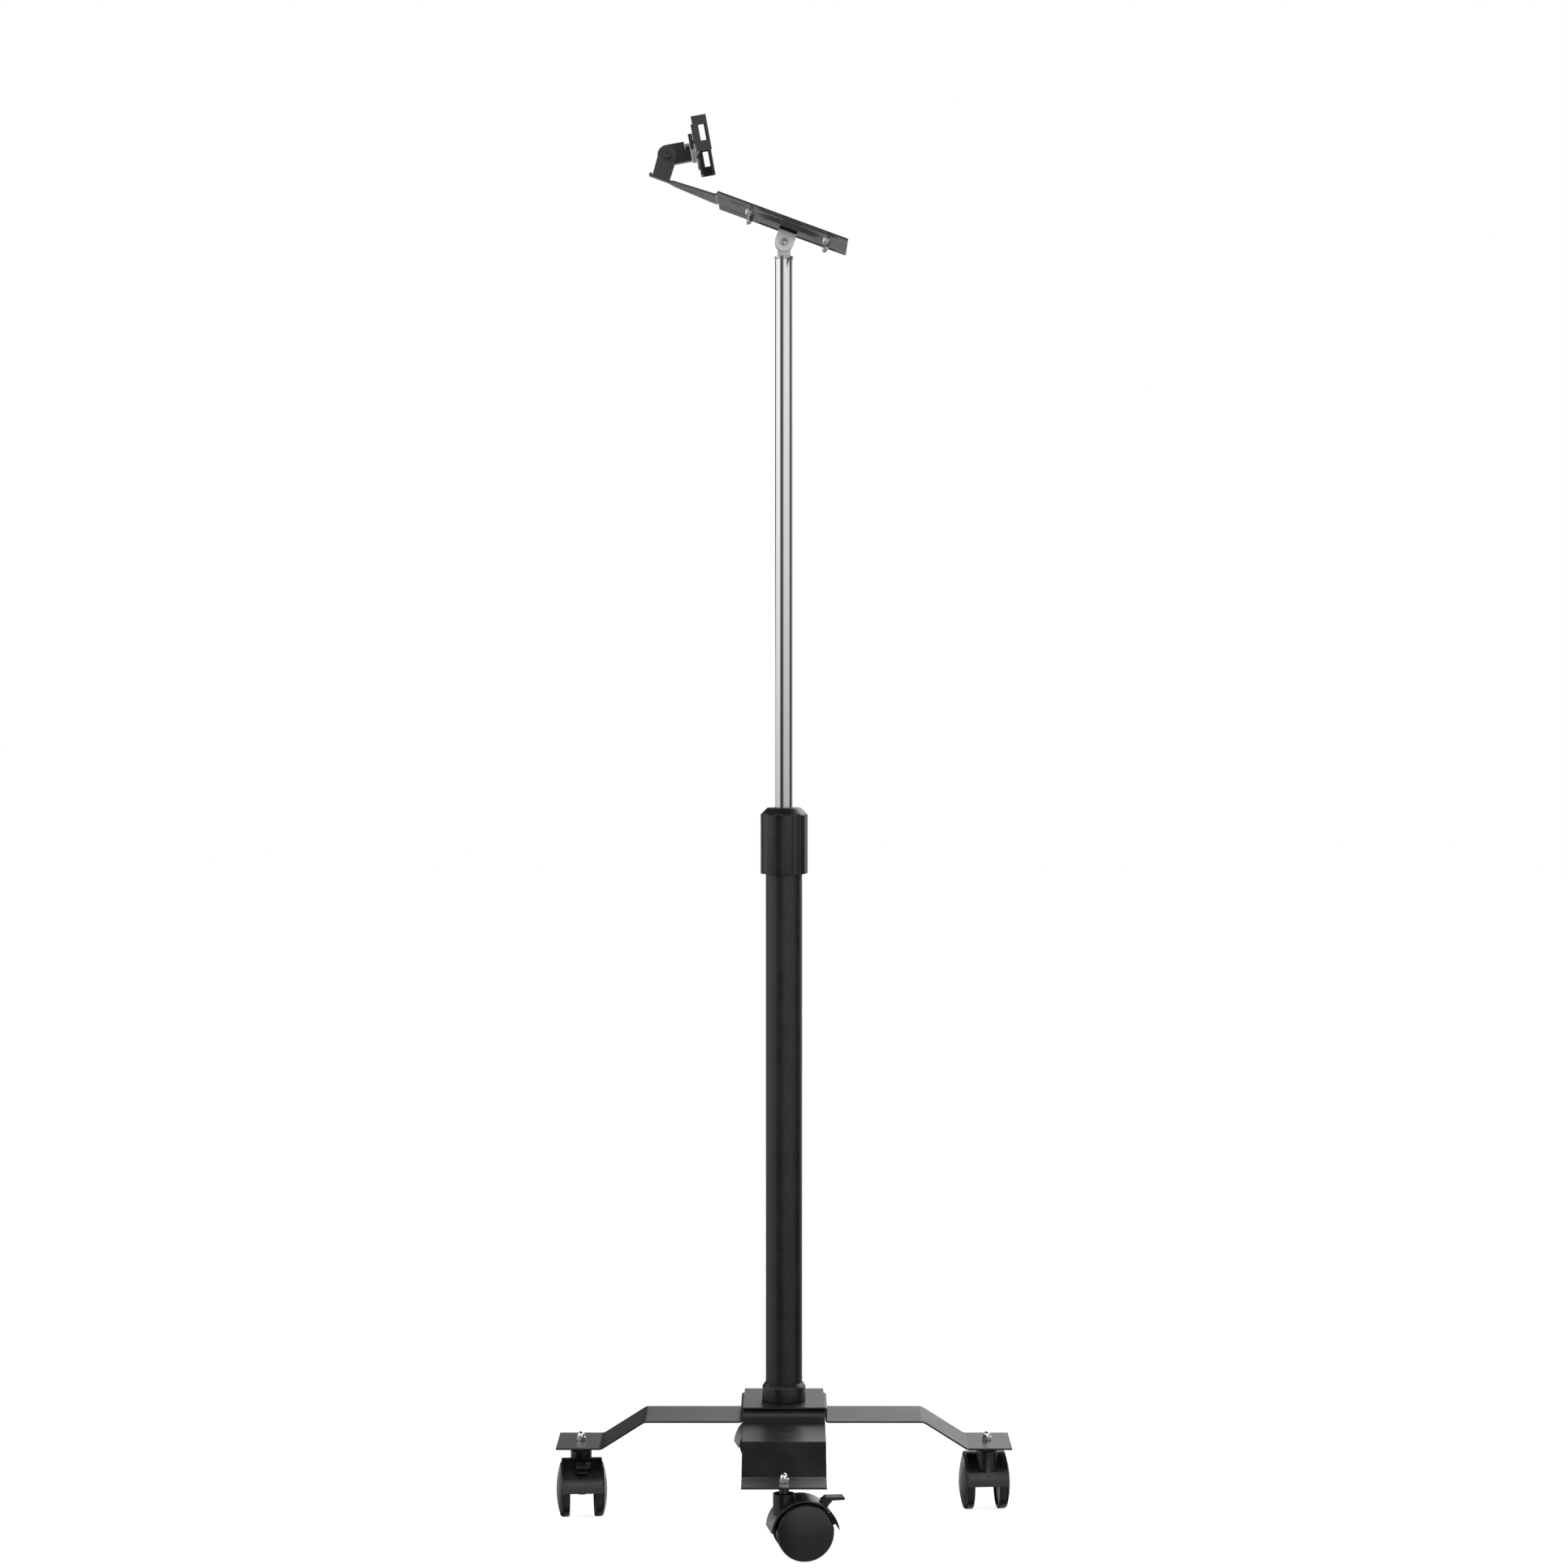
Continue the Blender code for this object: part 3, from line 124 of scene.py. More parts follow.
def soft_step(tree, value, low, high, from_value, to_value):
    """A smooth change between two levels while the value runs from low to high."""
    made = new_node(tree, "ShaderNodeMapRange", {"interpolation_type": "SMOOTHSTEP"},
                    {"From Min": low, "From Max": high, "To Min": from_value, "To Max": to_value})
    tree.links.new(value, made.inputs["Value"])
    return made.outputs["Result"]


def studio_world():
    world = bpy.data.worlds.new("studio")
    world.use_nodes = True
    tree = world.node_tree
    tree.nodes.clear()
    place = new_node(tree, "ShaderNodeTexCoord")
    split = new_node(tree, "ShaderNodeSeparateXYZ")
    tree.links.new(place.outputs["Generated"], split.inputs[0])
    level_way = new_node(tree, "ShaderNodeCombineXYZ")
    tree.links.new(split.outputs["X"], level_way.inputs["X"])
    tree.links.new(split.outputs["Y"], level_way.inputs["Y"])
    heading = new_node(tree, "ShaderNodeVectorMath", {"operation": "NORMALIZE"})
    tree.links.new(level_way.outputs[0], heading.inputs[0])
    light = None
    for name, azimuth, half_width, softness, level, foot, top in panels:
        turn = math.radians(azimuth)
        facing = new_node(tree, "ShaderNodeVectorMath", {"operation": "DOT_PRODUCT", "label": name})
        facing.inputs[1].default_value = (math.sin(turn), -math.cos(turn), 0.0)
        tree.links.new(heading.outputs[0], facing.inputs[0])
        low = math.cos(math.radians(half_width + softness))
        high = math.cos(math.radians(half_width - softness))
        share = soft_step(tree, facing.outputs["Value"], low, high, 0.0, level)
        for low, high, below, above in ((*foot, 0.0, 1.0), (*top, 1.0, 0.0)):
            edge = soft_step(tree, split.outputs["Z"], low, high, below, above)
            share = calculation(tree, "MULTIPLY", share, edge)
        light = share if light is None else calculation(tree, "ADD", light, share)
    light = calculation(tree, "ADD", light, room_level)
    lift = soft_step(tree, split.outputs["Z"], lift_foot, lift_top, low_share, high_share)
    light = calculation(tree, "MULTIPLY", light, lift)
    room = new_node(tree, "ShaderNodeBackground")
    tree.links.new(light, room.inputs["Strength"])
    white = new_node(tree, "ShaderNodeBackground", None, {"Color": (1.0, 1.0, 1.0, 1.0), "Strength": 1.0})
    ray = new_node(tree, "ShaderNodeLightPath")
    mix = new_node(tree, "ShaderNodeMixShader")
    tree.links.new(ray.outputs["Is Camera Ray"], mix.inputs["Fac"])
    tree.links.new(room.outputs[0], mix.inputs[1])
    tree.links.new(white.outputs[0], mix.inputs[2])
    out = new_node(tree, "ShaderNodeOutputWorld")
    tree.links.new(mix.outputs[0], out.inputs["Surface"])
    bpy.context.scene.world = world


studio_world()

top_light = bpy.data.lights.new("top light", "AREA")
top_light.shape = "DISK"
top_light.size = 2.4
top_light.energy = 70.0
top_lamp = bpy.data.objects.new("top light", top_light)
top_lamp.location = (-1.2, -2.2, 4.2)
top_lamp.rotation_euler = (Vector((0.0, 0.0, 0.8)) - top_lamp.location).to_track_quat("-Z", "Y").to_euler()
top_lamp.visible_glossy = False
bpy.context.scene.collection.objects.link(top_lamp)

floor_reach = 14.0
floor_glow_near = 0.84
floor_glow_far = 1.0
floor_glow_from = 0.5
floor_glow_to = 2.5
floor_mesh = bpy.data.meshes.new("studio_floor")
floor_builder = bmesh.new()
bmesh.ops.create_circle(floor_builder, cap_ends=True, radius=floor_reach, segments=96)
floor_builder.to_mesh(floor_mesh)
floor_builder.free()
floor = bpy.data.objects.new("studio_floor", floor_mesh)
bpy.context.scene.collection.objects.link(floor)
floor_paint = bpy.data.materials.new("floor_paint")
floor_paint.use_nodes = True
floor_tree = floor_paint.node_tree
floor_shader = floor_tree.nodes["Principled BSDF"]
floor_shader.inputs["Base Color"].default_value = (0.72, 0.72, 0.72, 1.0)
floor_shader.inputs["Roughness"].default_value = 0.9
floor_shader.inputs["Specular IOR Level"].default_value = 0.1
floor_ray = new_node(floor_tree, "ShaderNodeLightPath")
floor_place = new_node(floor_tree, "ShaderNodeTexCoord")
floor_distance = new_node(floor_tree, "ShaderNodeVectorMath", {"operation": "LENGTH"})
floor_tree.links.new(floor_place.outputs["Object"], floor_distance.inputs[0])
floor_white = soft_step(floor_tree, floor_distance.outputs["Value"], floor_glow_from, floor_glow_to,
                        floor_glow_near, floor_glow_far)
floor_glow = calculation(floor_tree, "MULTIPLY", floor_ray.outputs["Is Camera Ray"], floor_white)
floor_tree.links.new(floor_glow, floor_shader.inputs["Emission Strength"])
floor_clear = new_node(floor_tree, "ShaderNodeBsdfTransparent")
floor_mix = new_node(floor_tree, "ShaderNodeMixShader")
floor_tree.links.new(floor_ray.outputs["Is Glossy Ray"], floor_mix.inputs["Fac"])
floor_tree.links.new(floor_shader.outputs[0], floor_mix.inputs[1])
floor_tree.links.new(floor_clear.outputs[0], floor_mix.inputs[2])
floor_tree.links.new(floor_mix.outputs[0], floor_tree.nodes["Material Output"].inputs["Surface"])
floor_shader.inputs["Emission Color"].default_value = (1.0, 1.0, 1.0, 1.0)
floor_mesh.materials.append(floor_paint)


# Base straps
# Two 100 mm wide strips of 2.3 mm sheet steel, each pressed into a hat over the hub with
# level arms, a slope and a level pad at each end. They cross and are powder coated black.
coat_black = (0.0075, 0.0075, 0.0080)
coat_worn = (0.0125, 0.0125, 0.0130)
strap_edge = 0.45 * mm


def texture_group(name, sockets_in, sockets_out):
    """An empty shader group with named inputs and outputs."""
    tree = bpy.data.node_groups.new(name, "ShaderNodeTree")
    for label, kind, value in sockets_in:
        socket = tree.interface.new_socket(label, in_out="INPUT", socket_type=kind)
        socket.default_value = value
    for label, kind in sockets_out:
        tree.interface.new_socket(label, in_out="OUTPUT", socket_type=kind)
    return tree, tree.nodes.new("NodeGroupInput"), tree.nodes.new("NodeGroupOutput")


def make_orange_peel():
    """Fine waves of a sprayed or moulded skin: a bumped normal and a mask for colour and gloss."""
    tree, given, result = texture_group(
        "orange_peel",
        (("Wave Scale", "NodeSocketFloat", 900.0), ("Wave Height", "NodeSocketFloat", 0.00004),
         ("Cloud Scale", "NodeSocketFloat", 40.0), ("Stretch", "NodeSocketVector", (1.0, 1.0, 1.0))),
        (("Normal", "NodeSocketVector"), ("Mask", "NodeSocketFloat")))
    place = new_node(tree, "ShaderNodeTexCoord")
    spread = new_node(tree, "ShaderNodeVectorMath", {"operation": "MULTIPLY"})
    tree.links.new(place.outputs["Object"], spread.inputs[0])
    tree.links.new(given.outputs["Stretch"], spread.inputs[1])
    waves = new_node(tree, "ShaderNodeTexNoise", None, {"Detail": 3.0, "Roughness": 0.55})
    clouds = new_node(tree, "ShaderNodeTexNoise", None, {"Detail": 4.0, "Roughness": 0.6})
    for texture, label in ((waves, "Wave Scale"), (clouds, "Cloud Scale")):
        tree.links.new(spread.outputs[0], texture.inputs["Vector"])
        tree.links.new(given.outputs[label], texture.inputs["Scale"])
    bump = new_node(tree, "ShaderNodeBump", None, {"Strength": 1.0})
    height = calculation(tree, "MULTIPLY", waves.outputs["Fac"], given.outputs["Wave Height"])
    tree.links.new(height, bump.inputs["Height"])
    bump.inputs["Distance"].default_value = 1.0
    tree.links.new(bump.outputs["Normal"], result.inputs["Normal"])
    mask = soft_step(tree, clouds.outputs["Fac"], 0.35, 0.65, 0.0, 1.0)
    tree.links.new(mask, result.inputs["Mask"])
    return tree


def make_settled_dust():
    """Where dust lies: on faces that look up, in soft patches."""
    tree, given, result = texture_group(
        "settled_dust", (("Amount", "NodeSocketFloat", 0.05), ("Patch Scale", "NodeSocketFloat", 60.0)),
        (("Mask", "NodeSocketFloat"),))
    place = new_node(tree, "ShaderNodeTexCoord")
    surface = new_node(tree, "ShaderNodeNewGeometry")
    split = new_node(tree, "ShaderNodeSeparateXYZ")
    tree.links.new(surface.outputs["Normal"], split.inputs[0])
    upward = soft_step(tree, split.outputs["Z"], 0.3, 1.0, 0.0, 1.0)
    patches = new_node(tree, "ShaderNodeTexNoise", None, {"Detail": 5.0, "Roughness": 0.65})
    tree.links.new(place.outputs["Object"], patches.inputs["Vector"])
    tree.links.new(given.outputs["Patch Scale"], patches.inputs["Scale"])
    spread = soft_step(tree, patches.outputs["Fac"], 0.4, 0.7, 0.0, 1.0)
    lying = calculation(tree, "MULTIPLY", upward, spread)
    amount = calculation(tree, "MULTIPLY", lying, given.outputs["Amount"])
    tree.links.new(amount, result.inputs["Mask"])
    return tree


orange_peel = make_orange_peel()
settled_dust = make_settled_dust()
dust_grey = (0.35, 0.34, 0.32, 1.0)


def skin_material(name, dark, light, gloss, waves, clouds, dust=0.0, metallic=0.0, stretch=(1.0, 1.0, 1.0),
                  specular=0.5):
    """A finish with waves in its skin, clouds in its colour and gloss, and a little dust on top.

    gloss is the lowest and highest roughness, waves is scale and height, clouds is a scale."""
    material = bpy.data.materials.new(name)
    material.use_nodes = True
    tree = material.node_tree
    shader = tree.nodes["Principled BSDF"]
    shader.inputs["Metallic"].default_value = metallic
    shader.inputs["Specular IOR Level"].default_value = specular
    peel = new_node(tree, "ShaderNodeGroup", {"node_tree": orange_peel},
                    {"Wave Scale": waves[0], "Wave Height": waves[1], "Cloud Scale": clouds, "Stretch": stretch})
    tree.links.new(peel.outputs["Normal"], shader.inputs["Normal"])
    colour = new_node(tree, "ShaderNodeMix", {"data_type": "RGBA"})
    colour.inputs["A"].default_value = (*dark, 1.0)
    colour.inputs["B"].default_value = (*light, 1.0)
    tree.links.new(peel.outputs["Mask"], colour.inputs["Factor"])
    shade = colour.outputs["Result"]
    if dust:
        veil = new_node(tree, "ShaderNodeGroup", {"node_tree": settled_dust}, {"Amount": dust})
        dusted = new_node(tree, "ShaderNodeMix", {"data_type": "RGBA"})
        dusted.inputs["B"].default_value = dust_grey
        tree.links.new(shade, dusted.inputs["A"])
        tree.links.new(veil.outputs["Mask"], dusted.inputs["Factor"])
        shade = dusted.outputs["Result"]
    tree.links.new(shade, shader.inputs["Base Color"])
    blur = soft_step(tree, peel.outputs["Mask"], 0.0, 1.0, gloss[0], gloss[1])
    tree.links.new(blur, shader.inputs["Roughness"])
    return material


powder_coat = skin_material("powder_coat", coat_black, coat_worn, (0.33, 0.37), (650.0, 0.000015), 30.0,
                            dust=0.004)


def plain_mesh(shape, name):
    """Applies a working object's modifiers and returns it as a finished piece."""
    bpy.context.view_layer.update()
    graph = bpy.context.evaluated_depsgraph_get()
    mesh = bpy.data.meshes.new_from_object(shape.evaluated_get(graph), depsgraph=graph)
    piece = bpy.data.objects.new(name, mesh)
    mesh.name = name
    bpy.context.scene.collection.objects.link(piece)
    bpy.data.objects.remove(shape, do_unlink=True)
    return piece


def eased(node, edge, finish, steps=3, sharp=28.0):
    """A frame solid with its loose triangles joined and its sharp edges eased by a small round."""
    mesh = nodes[node].data.copy()
    builder = bmesh.new()
    builder.from_mesh(mesh)
    bmesh.ops.remove_doubles(builder, verts=builder.verts, dist=0.00001)
    bmesh.ops.dissolve_limit(builder, angle_limit=math.radians(1.0), verts=builder.verts, edges=builder.edges)
    for face in builder.faces:
        face.smooth = True
    builder.to_mesh(mesh)
    builder.free()
    mesh.materials.clear()
    mesh.materials.append(finish)
    shape = bpy.data.objects.new(node + "_shape", mesh)
    bpy.context.scene.collection.objects.link(shape)
    ease = shape.modifiers.new("Eased edges", "BEVEL")
    ease.width = edge
    ease.segments = steps
    ease.limit_method = "ANGLE"
    ease.angle_limit = math.radians(sharp)
    level = shape.modifiers.new("Flat faces stay flat", "WEIGHTED_NORMAL")
    level.keep_sharp = False
    piece = plain_mesh(shape, node + "_piece")
    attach(piece, nodes[node]["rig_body"])
    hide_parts(node)
    return piece


for strap in ("base_strap_lower", "base_strap_upper"):
    eased(strap, strap_edge, powder_coat)


# Hub fastening
# A thick washer plate under the crossed straps and the hexagon bolt that pulls the column
# down on them. The plate is plain steel with a black oxide skin and the bolt is zinc plated; both are hidden from
# most sides.
black_oxide = skin_material("black_oxide", (0.075, 0.075, 0.078), (0.105, 0.105, 0.110), (0.32, 0.46),
                            (1800.0, 0.00001), 70.0, metallic=1.0)
zinc_plate = skin_material("zinc_plate", (0.58, 0.58, 0.59), (0.70, 0.70, 0.71), (0.26, 0.38),
                           (1500.0, 0.000012), 55.0, metallic=1.0)
eased("hub_spreader_plate", 0.4 * mm, black_oxide)
eased("column_bolt", 0.4 * mm, zinc_plate)


# Column
# A 45 mm round steel tube, powder coated like the straps, that stands in a moulded
# foot collar with a chamfered top. The mast slides inside it.
column_sides = 160
tube_radius = 22.7 * mm
tube_wall = 1.6 * mm
tube_edge = 0.5 * mm
foot_collar_radius = 27.0 * mm
foot_collar_chamfer = 5.0 * mm
foot_collar_lip = 1.0 * mm
foot_collar_edge = 0.7 * mm
moulded_black = skin_material("moulded_black", (0.0070, 0.0070, 0.0074), (0.0110, 0.0110, 0.0115), (0.26, 0.36),
                              (2400.0, 0.000010), 80.0, dust=0.003)


def rounded_profile(points, radius, steps=4):
    """A turned profile of radius and height pairs with every inner corner rounded off."""
    line = [Vector(point) for point in points]
    result = [line[0]]
    for before, corner, after in zip(line, line[1:], line[2:]):
        reach = min(radius, (corner - before).length * 0.45, (after - corner).length * 0.45)
        start = corner + (before - corner).normalized() * reach
        end = corner + (after - corner).normalized() * reach
        for step in range(steps + 1):
            share = step / steps
            result.append(start * (1 - share) ** 2 + corner * 2 * share * (1 - share) + end * share ** 2)
    result.append(line[-1])
    return [(point.x, point.y) for point in result]


def turned(profile, sides, finish, turn=None, closed=False, sharp=32.0):
    """A profile turned once round the Z axis, then placed by a matrix, as a smooth working object."""
    builder = bmesh.new()
    rings = []
    for radius, height in profile:
        if radius < 1e-7:
            rings.append([builder.verts.new((0.0, 0.0, height))] * sides)
            continue
        ring = []
        for step in range(sides):
            angle = math.tau * step / sides
            ring.append(builder.verts.new((radius * math.cos(angle), radius * math.sin(angle), height)))
        rings.append(ring)
    pairs = list(zip(rings, rings[1:]))
    if closed:
        pairs.append((rings[-1], rings[0]))
    for low, high in pairs:
        for step in range(sides):
            following = (step + 1) % sides
            corners = dict.fromkeys((low[step], low[following], high[following], high[step]))
            if len(corners) > 2:
                builder.faces.new(list(corners))
    bmesh.ops.recalc_face_normals(builder, faces=builder.faces)
    for face in builder.faces:
        face.smooth = True
    mesh = bpy.data.meshes.new("turned")
    builder.to_mesh(mesh)
    builder.free()
    mesh.set_sharp_from_angle(angle=math.radians(sharp))
    mesh.materials.append(finish)
    if turn is not None:
        mesh.transform(turn)
    shape = bpy.data.objects.new("turned", mesh)
    bpy.context.scene.collection.objects.link(shape)
    return shape


def settle(shape, name, body, slot, *replaced):
    """Names a finished piece, hangs it on its body and hides the frame solids it stands for."""
    shape.name = name
    shape.data.name = name
    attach(shape, body)
    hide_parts(*replaced)
    return shape


tube_low, tube_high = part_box("column_tube")
foot_low, foot_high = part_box("column_foot_collar")
tube_inner = tube_radius - tube_wall
tube_profile = rounded_profile(
    [(tube_inner, tube_low.z + 2 * tube_wall), (tube_inner, tube_high.z), (tube_radius, tube_high.z),
     (tube_radius, tube_low.z), (tube_inner / 2, tube_low.z), (tube_inner / 2, tube_low.z + 2 * tube_wall),
     (tube_inner, tube_low.z + 2 * tube_wall)], tube_edge)
settle(turned(tube_profile, column_sides, powder_coat), "column_tube_piece", "base", "black_coat", "column_tube")

foot_bore = tube_radius + 0.1 * mm
foot_profile = rounded_profile(
    [(foot_bore, foot_low.z), (foot_bore, foot_high.z), (foot_bore + foot_collar_lip, foot_high.z),
     (foot_collar_radius, foot_high.z - foot_collar_chamfer), (foot_collar_radius, foot_low.z),
     (foot_bore, foot_low.z)], foot_collar_edge)
settle(turned(foot_profile, column_sides, moulded_black), "column_foot_collar_piece", "base", "black_plastic",
       "column_foot_collar")


# Twist lock
# A dark nylon collar with eight broad ribs to grip, pushed over the top of the column;
# its coned top leaves the mast free. The bush and the mast's foot guide sit inside.
lock_ribs = 8
lock_radius = 29.0 * mm
lock_flute_depth = 1.1 * mm
lock_first_rib = -1.25
lock_flank_share = 0.028
lock_top_radius = 20.5 * mm
lock_rim_radius = 27.2 * mm
lock_cone_height = 6.8 * mm
lock_shoulder_drop = 2.0 * mm
lock_edge = 0.6 * mm
lock_sides = 480
nylon_grey = skin_material("nylon_grey", (0.0080, 0.0080, 0.0084), (0.0120, 0.0120, 0.0126), (0.27, 0.31),
                           (2200.0, 0.000012), 60.0, dust=0.003)


def flute_tree():
    """Presses straight flutes into the outer wall of a turned sleeve."""
    tree = bpy.data.node_groups.new("pressed_flutes", "GeometryNodeTree")
    wanted = (("Geometry", "NodeSocketGeometry"), ("Ribs", "NodeSocketFloat"), ("Flute Radius", "NodeSocketFloat"),
              ("First Rib", "NodeSocketFloat"), ("Flank Share", "NodeSocketFloat"),
              ("Finish", "NodeSocketMaterial"))
    for label, kind in wanted:
        tree.interface.new_socket(label, in_out="INPUT", socket_type=kind)
    tree.interface.new_socket("Geometry", in_out="OUTPUT", socket_type="NodeSocketGeometry")
    given = tree.nodes.new("NodeGroupInput")
    result = tree.nodes.new("NodeGroupOutput")
    place = new_node(tree, "GeometryNodeInputPosition")
    split = new_node(tree, "ShaderNodeSeparateXYZ")
    tree.links.new(place.outputs[0], split.inputs[0])
    angle = calculation(tree, "ARCTAN2", split.outputs["Y"], split.outputs["X"])
    angle = calculation(tree, "SUBTRACT", angle, given.outputs["First Rib"])
    turns = calculation(tree, "MULTIPLY", calculation(tree, "DIVIDE", angle, math.tau), given.outputs["Ribs"])
    share = calculation(tree, "FRACT", calculation(tree, "SUBTRACT", turns, 0.25))
    distance = calculation(tree, "ABSOLUTE", calculation(tree, "SUBTRACT", share, 0.5))
    low = calculation(tree, "SUBTRACT", 0.25, given.outputs["Flank Share"])
    high = calculation(tree, "ADD", 0.25, given.outputs["Flank Share"])
    flute = new_node(tree, "ShaderNodeMapRange", {"interpolation_type": "SMOOTHSTEP"},
                     {"To Min": 1.0, "To Max": 0.0})
    tree.links.new(distance, flute.inputs["Value"])
    tree.links.new(low, flute.inputs["From Min"])
    tree.links.new(high, flute.inputs["From Max"])
    level_way = new_node(tree, "ShaderNodeCombineXYZ")
    tree.links.new(split.outputs["X"], level_way.inputs["X"])
    tree.links.new(split.outputs["Y"], level_way.inputs["Y"])
    reach = new_node(tree, "ShaderNodeVectorMath", {"operation": "LENGTH"})
    tree.links.new(level_way.outputs[0], reach.inputs[0])
    outward = new_node(tree, "ShaderNodeVectorMath", {"operation": "NORMALIZE"})
    tree.links.new(level_way.outputs[0], outward.inputs[0])
    proud = calculation(tree, "SUBTRACT", reach.outputs["Value"], given.outputs["Flute Radius"])
    proud = calculation(tree, "MAXIMUM", proud, 0.0)
    depth = calculation(tree, "MULTIPLY", calculation(tree, "MULTIPLY", proud, flute.outputs["Result"]), -1.0)
    shift = new_node(tree, "ShaderNodeVectorMath", {"operation": "SCALE"})
    tree.links.new(outward.outputs[0], shift.inputs[0])
    tree.links.new(depth, shift.inputs["Scale"])
    press = new_node(tree, "GeometryNodeSetPosition")
    tree.links.new(given.outputs["Geometry"], press.inputs["Geometry"])
    tree.links.new(shift.outputs[0], press.inputs["Offset"])
    real = new_node(tree, "GeometryNodeRealizeInstances")
    paint = new_node(tree, "GeometryNodeSetMaterial")
    tree.links.new(press.outputs[0], real.inputs[0])
    tree.links.new(real.outputs[0], paint.inputs["Geometry"])
    tree.links.new(given.outputs["Finish"], paint.inputs["Material"])
    tree.links.new(paint.outputs[0], result.inputs["Geometry"])
    return tree


def apply_tree(shape, tree, name, inputs):
    """Runs a geometry tree on a working object, with its inputs given by name, and keeps a plain mesh."""
    modifier = shape.modifiers.new(tree.name, "NODES")
    modifier.node_group = tree
    sockets = {item.name: item.identifier for item in tree.interface.items_tree if item.in_out == "INPUT"}
    for label, value in inputs.items():
        modifier[sockets[label]] = value
    return plain_mesh(shape, name)


lock_low, lock_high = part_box("lock_collar")
lock_shoulder = lock_high.z - lock_cone_height
lock_bore = tube_radius + 0.3 * mm
lock_mouth = 11.3 * mm
lock_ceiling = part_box("column_bush")[1].z + 0.3 * mm
lock_profile = rounded_profile(
    [(lock_bore, lock_ceiling), (lock_bore, lock_low.z), (lock_radius, lock_low.z),
     (lock_radius, lock_shoulder - lock_shoulder_drop), (lock_rim_radius, lock_shoulder),
     (lock_top_radius, lock_high.z), (lock_mouth, lock_high.z), (lock_mouth, lock_ceiling),
     (lock_bore, lock_ceiling)], lock_edge)
sleeve = turned(lock_profile, lock_sides, nylon_grey, sharp=60.0)
lock_piece = apply_tree(sleeve, flute_tree(), "lock_collar_piece", {
    "Ribs": float(lock_ribs), "Flute Radius": lock_radius - lock_flute_depth,
    "First Rib": math.radians(lock_first_rib), "Flank Share": lock_flank_share, "Finish": nylon_grey})
settle(lock_piece, "lock_collar_piece", "twist_lock", "grey_plastic", "lock_collar")
eased("column_bush", 0.3 * mm, nylon_grey)
eased("mast_foot_guide", 0.3 * mm, nylon_grey)


# Mast
# A 22 mm steel tube, drawn, polished and chromed, that slides in the column. Its plugged
# cap has a lip a little wider than the tube and the flat tongue that the clevis turns on.
pole_radius = 11.0 * mm
pole_wall = 1.5 * mm
bright_chrome = skin_material("bright_chrome", (0.74, 0.74, 0.75), (0.80, 0.80, 0.81), (0.10, 0.16),
                              (900.0, 0.000004), 45.0, metallic=1.0, stretch=(1.0, 1.0, 0.04))
pole_low, pole_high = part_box("mast_pole")
pole_inner = pole_radius - pole_wall
pole_profile = rounded_profile(
    [(pole_inner, (pole_low.z + pole_high.z) / 2), (pole_inner, pole_high.z), (pole_radius, pole_high.z),
     (pole_radius, pole_low.z), (pole_inner, pole_low.z), (pole_inner, (pole_low.z + pole_high.z) / 2)], 0.35 * mm)
settle(turned(pole_profile, column_sides, bright_chrome), "mast_pole_piece", "mast", "polished_steel", "mast_pole")
eased("mast_cap", 0.35 * mm, zinc_plate)


# Casters
# Twin-wheel swivel casters of glossy black nylon: a hood over two domed discs on a steel
# axle, a cup round the stem, and a brake pedal. The stem goes up through the strap's pad.
wheel_sides = 96
wheel_radius = 34.0 * mm
wheel_inner = 15.2 * mm
wheel_outer = 26.5 * mm
wheel_dome = 4.9 * mm
wheel_rim_radius = 32.2 * mm
wheel_face_steps = 8
tread_slope = 2.5 * mm
tread_corner = 1.2 * mm
rim_wall = 4.0 * mm
rim_lip = 2.6 * mm
boss_radius = 7.0 * mm
boss_end = 4.3 * mm
axle_bore = 3.05 * mm
axle_end = 22.3 * mm
caster_nylon = skin_material("caster_nylon", (0.0060, 0.0060, 0.0063), (0.0095, 0.0095, 0.0100), (0.24, 0.33),
                             (2600.0, 0.000008), 90.0, dust=0.003)


def wheel_profile():
    """The domed outer face, the tread and the hollow inner side round the boss."""
    face = []
    for step in range(wheel_face_steps + 1):
        share = step / wheel_face_steps
        face.append((wheel_rim_radius * share, wheel_outer + wheel_dome * (1 - share * share)))
    rest = [(wheel_rim_radius, wheel_outer), (wheel_radius, wheel_outer - tread_slope),
            (wheel_radius, wheel_inner + tread_corner), (wheel_radius - tread_corner, wheel_inner),
            (wheel_radius - rim_wall, wheel_inner), (wheel_radius - rim_wall, wheel_inner + rim_lip),
            (boss_radius, wheel_inner + rim_lip), (boss_radius, boss_end), (axle_bore, boss_end),
            (axle_bore, axle_end), (0.0, axle_end)]
    return face[:-1] + rounded_profile(rest, 0.7 * mm, 3)


for side in ("front", "right", "rear", "left"):
    eased("caster_" + side + "_hood", 0.5 * mm, caster_nylon, 2, 35.0)
    eased("caster_" + side + "_pedal", 0.4 * mm, caster_nylon, 2, 35.0)
    eased("caster_" + side + "_axle", 0.3 * mm, zinc_plate)
    eased("caster_" + side + "_stem", 0.2 * mm, black_oxide)
    for letter, sense in (("a", -1.0), ("b", 1.0)):
        joint = joints[side + "_roll_" + letter]
        outward = Vector(joint["axis"]) * sense
        turn = Matrix.Translation(joint["pos_m"]) @ outward.to_track_quat("Z", "X").to_matrix().to_4x4()
        name = "caster_" + side + "_wheel_" + letter
        settle(turned(wheel_profile(), wheel_sides, caster_nylon, turn), name + "_piece",
               side + "_roller_" + letter, "black_plastic", name)


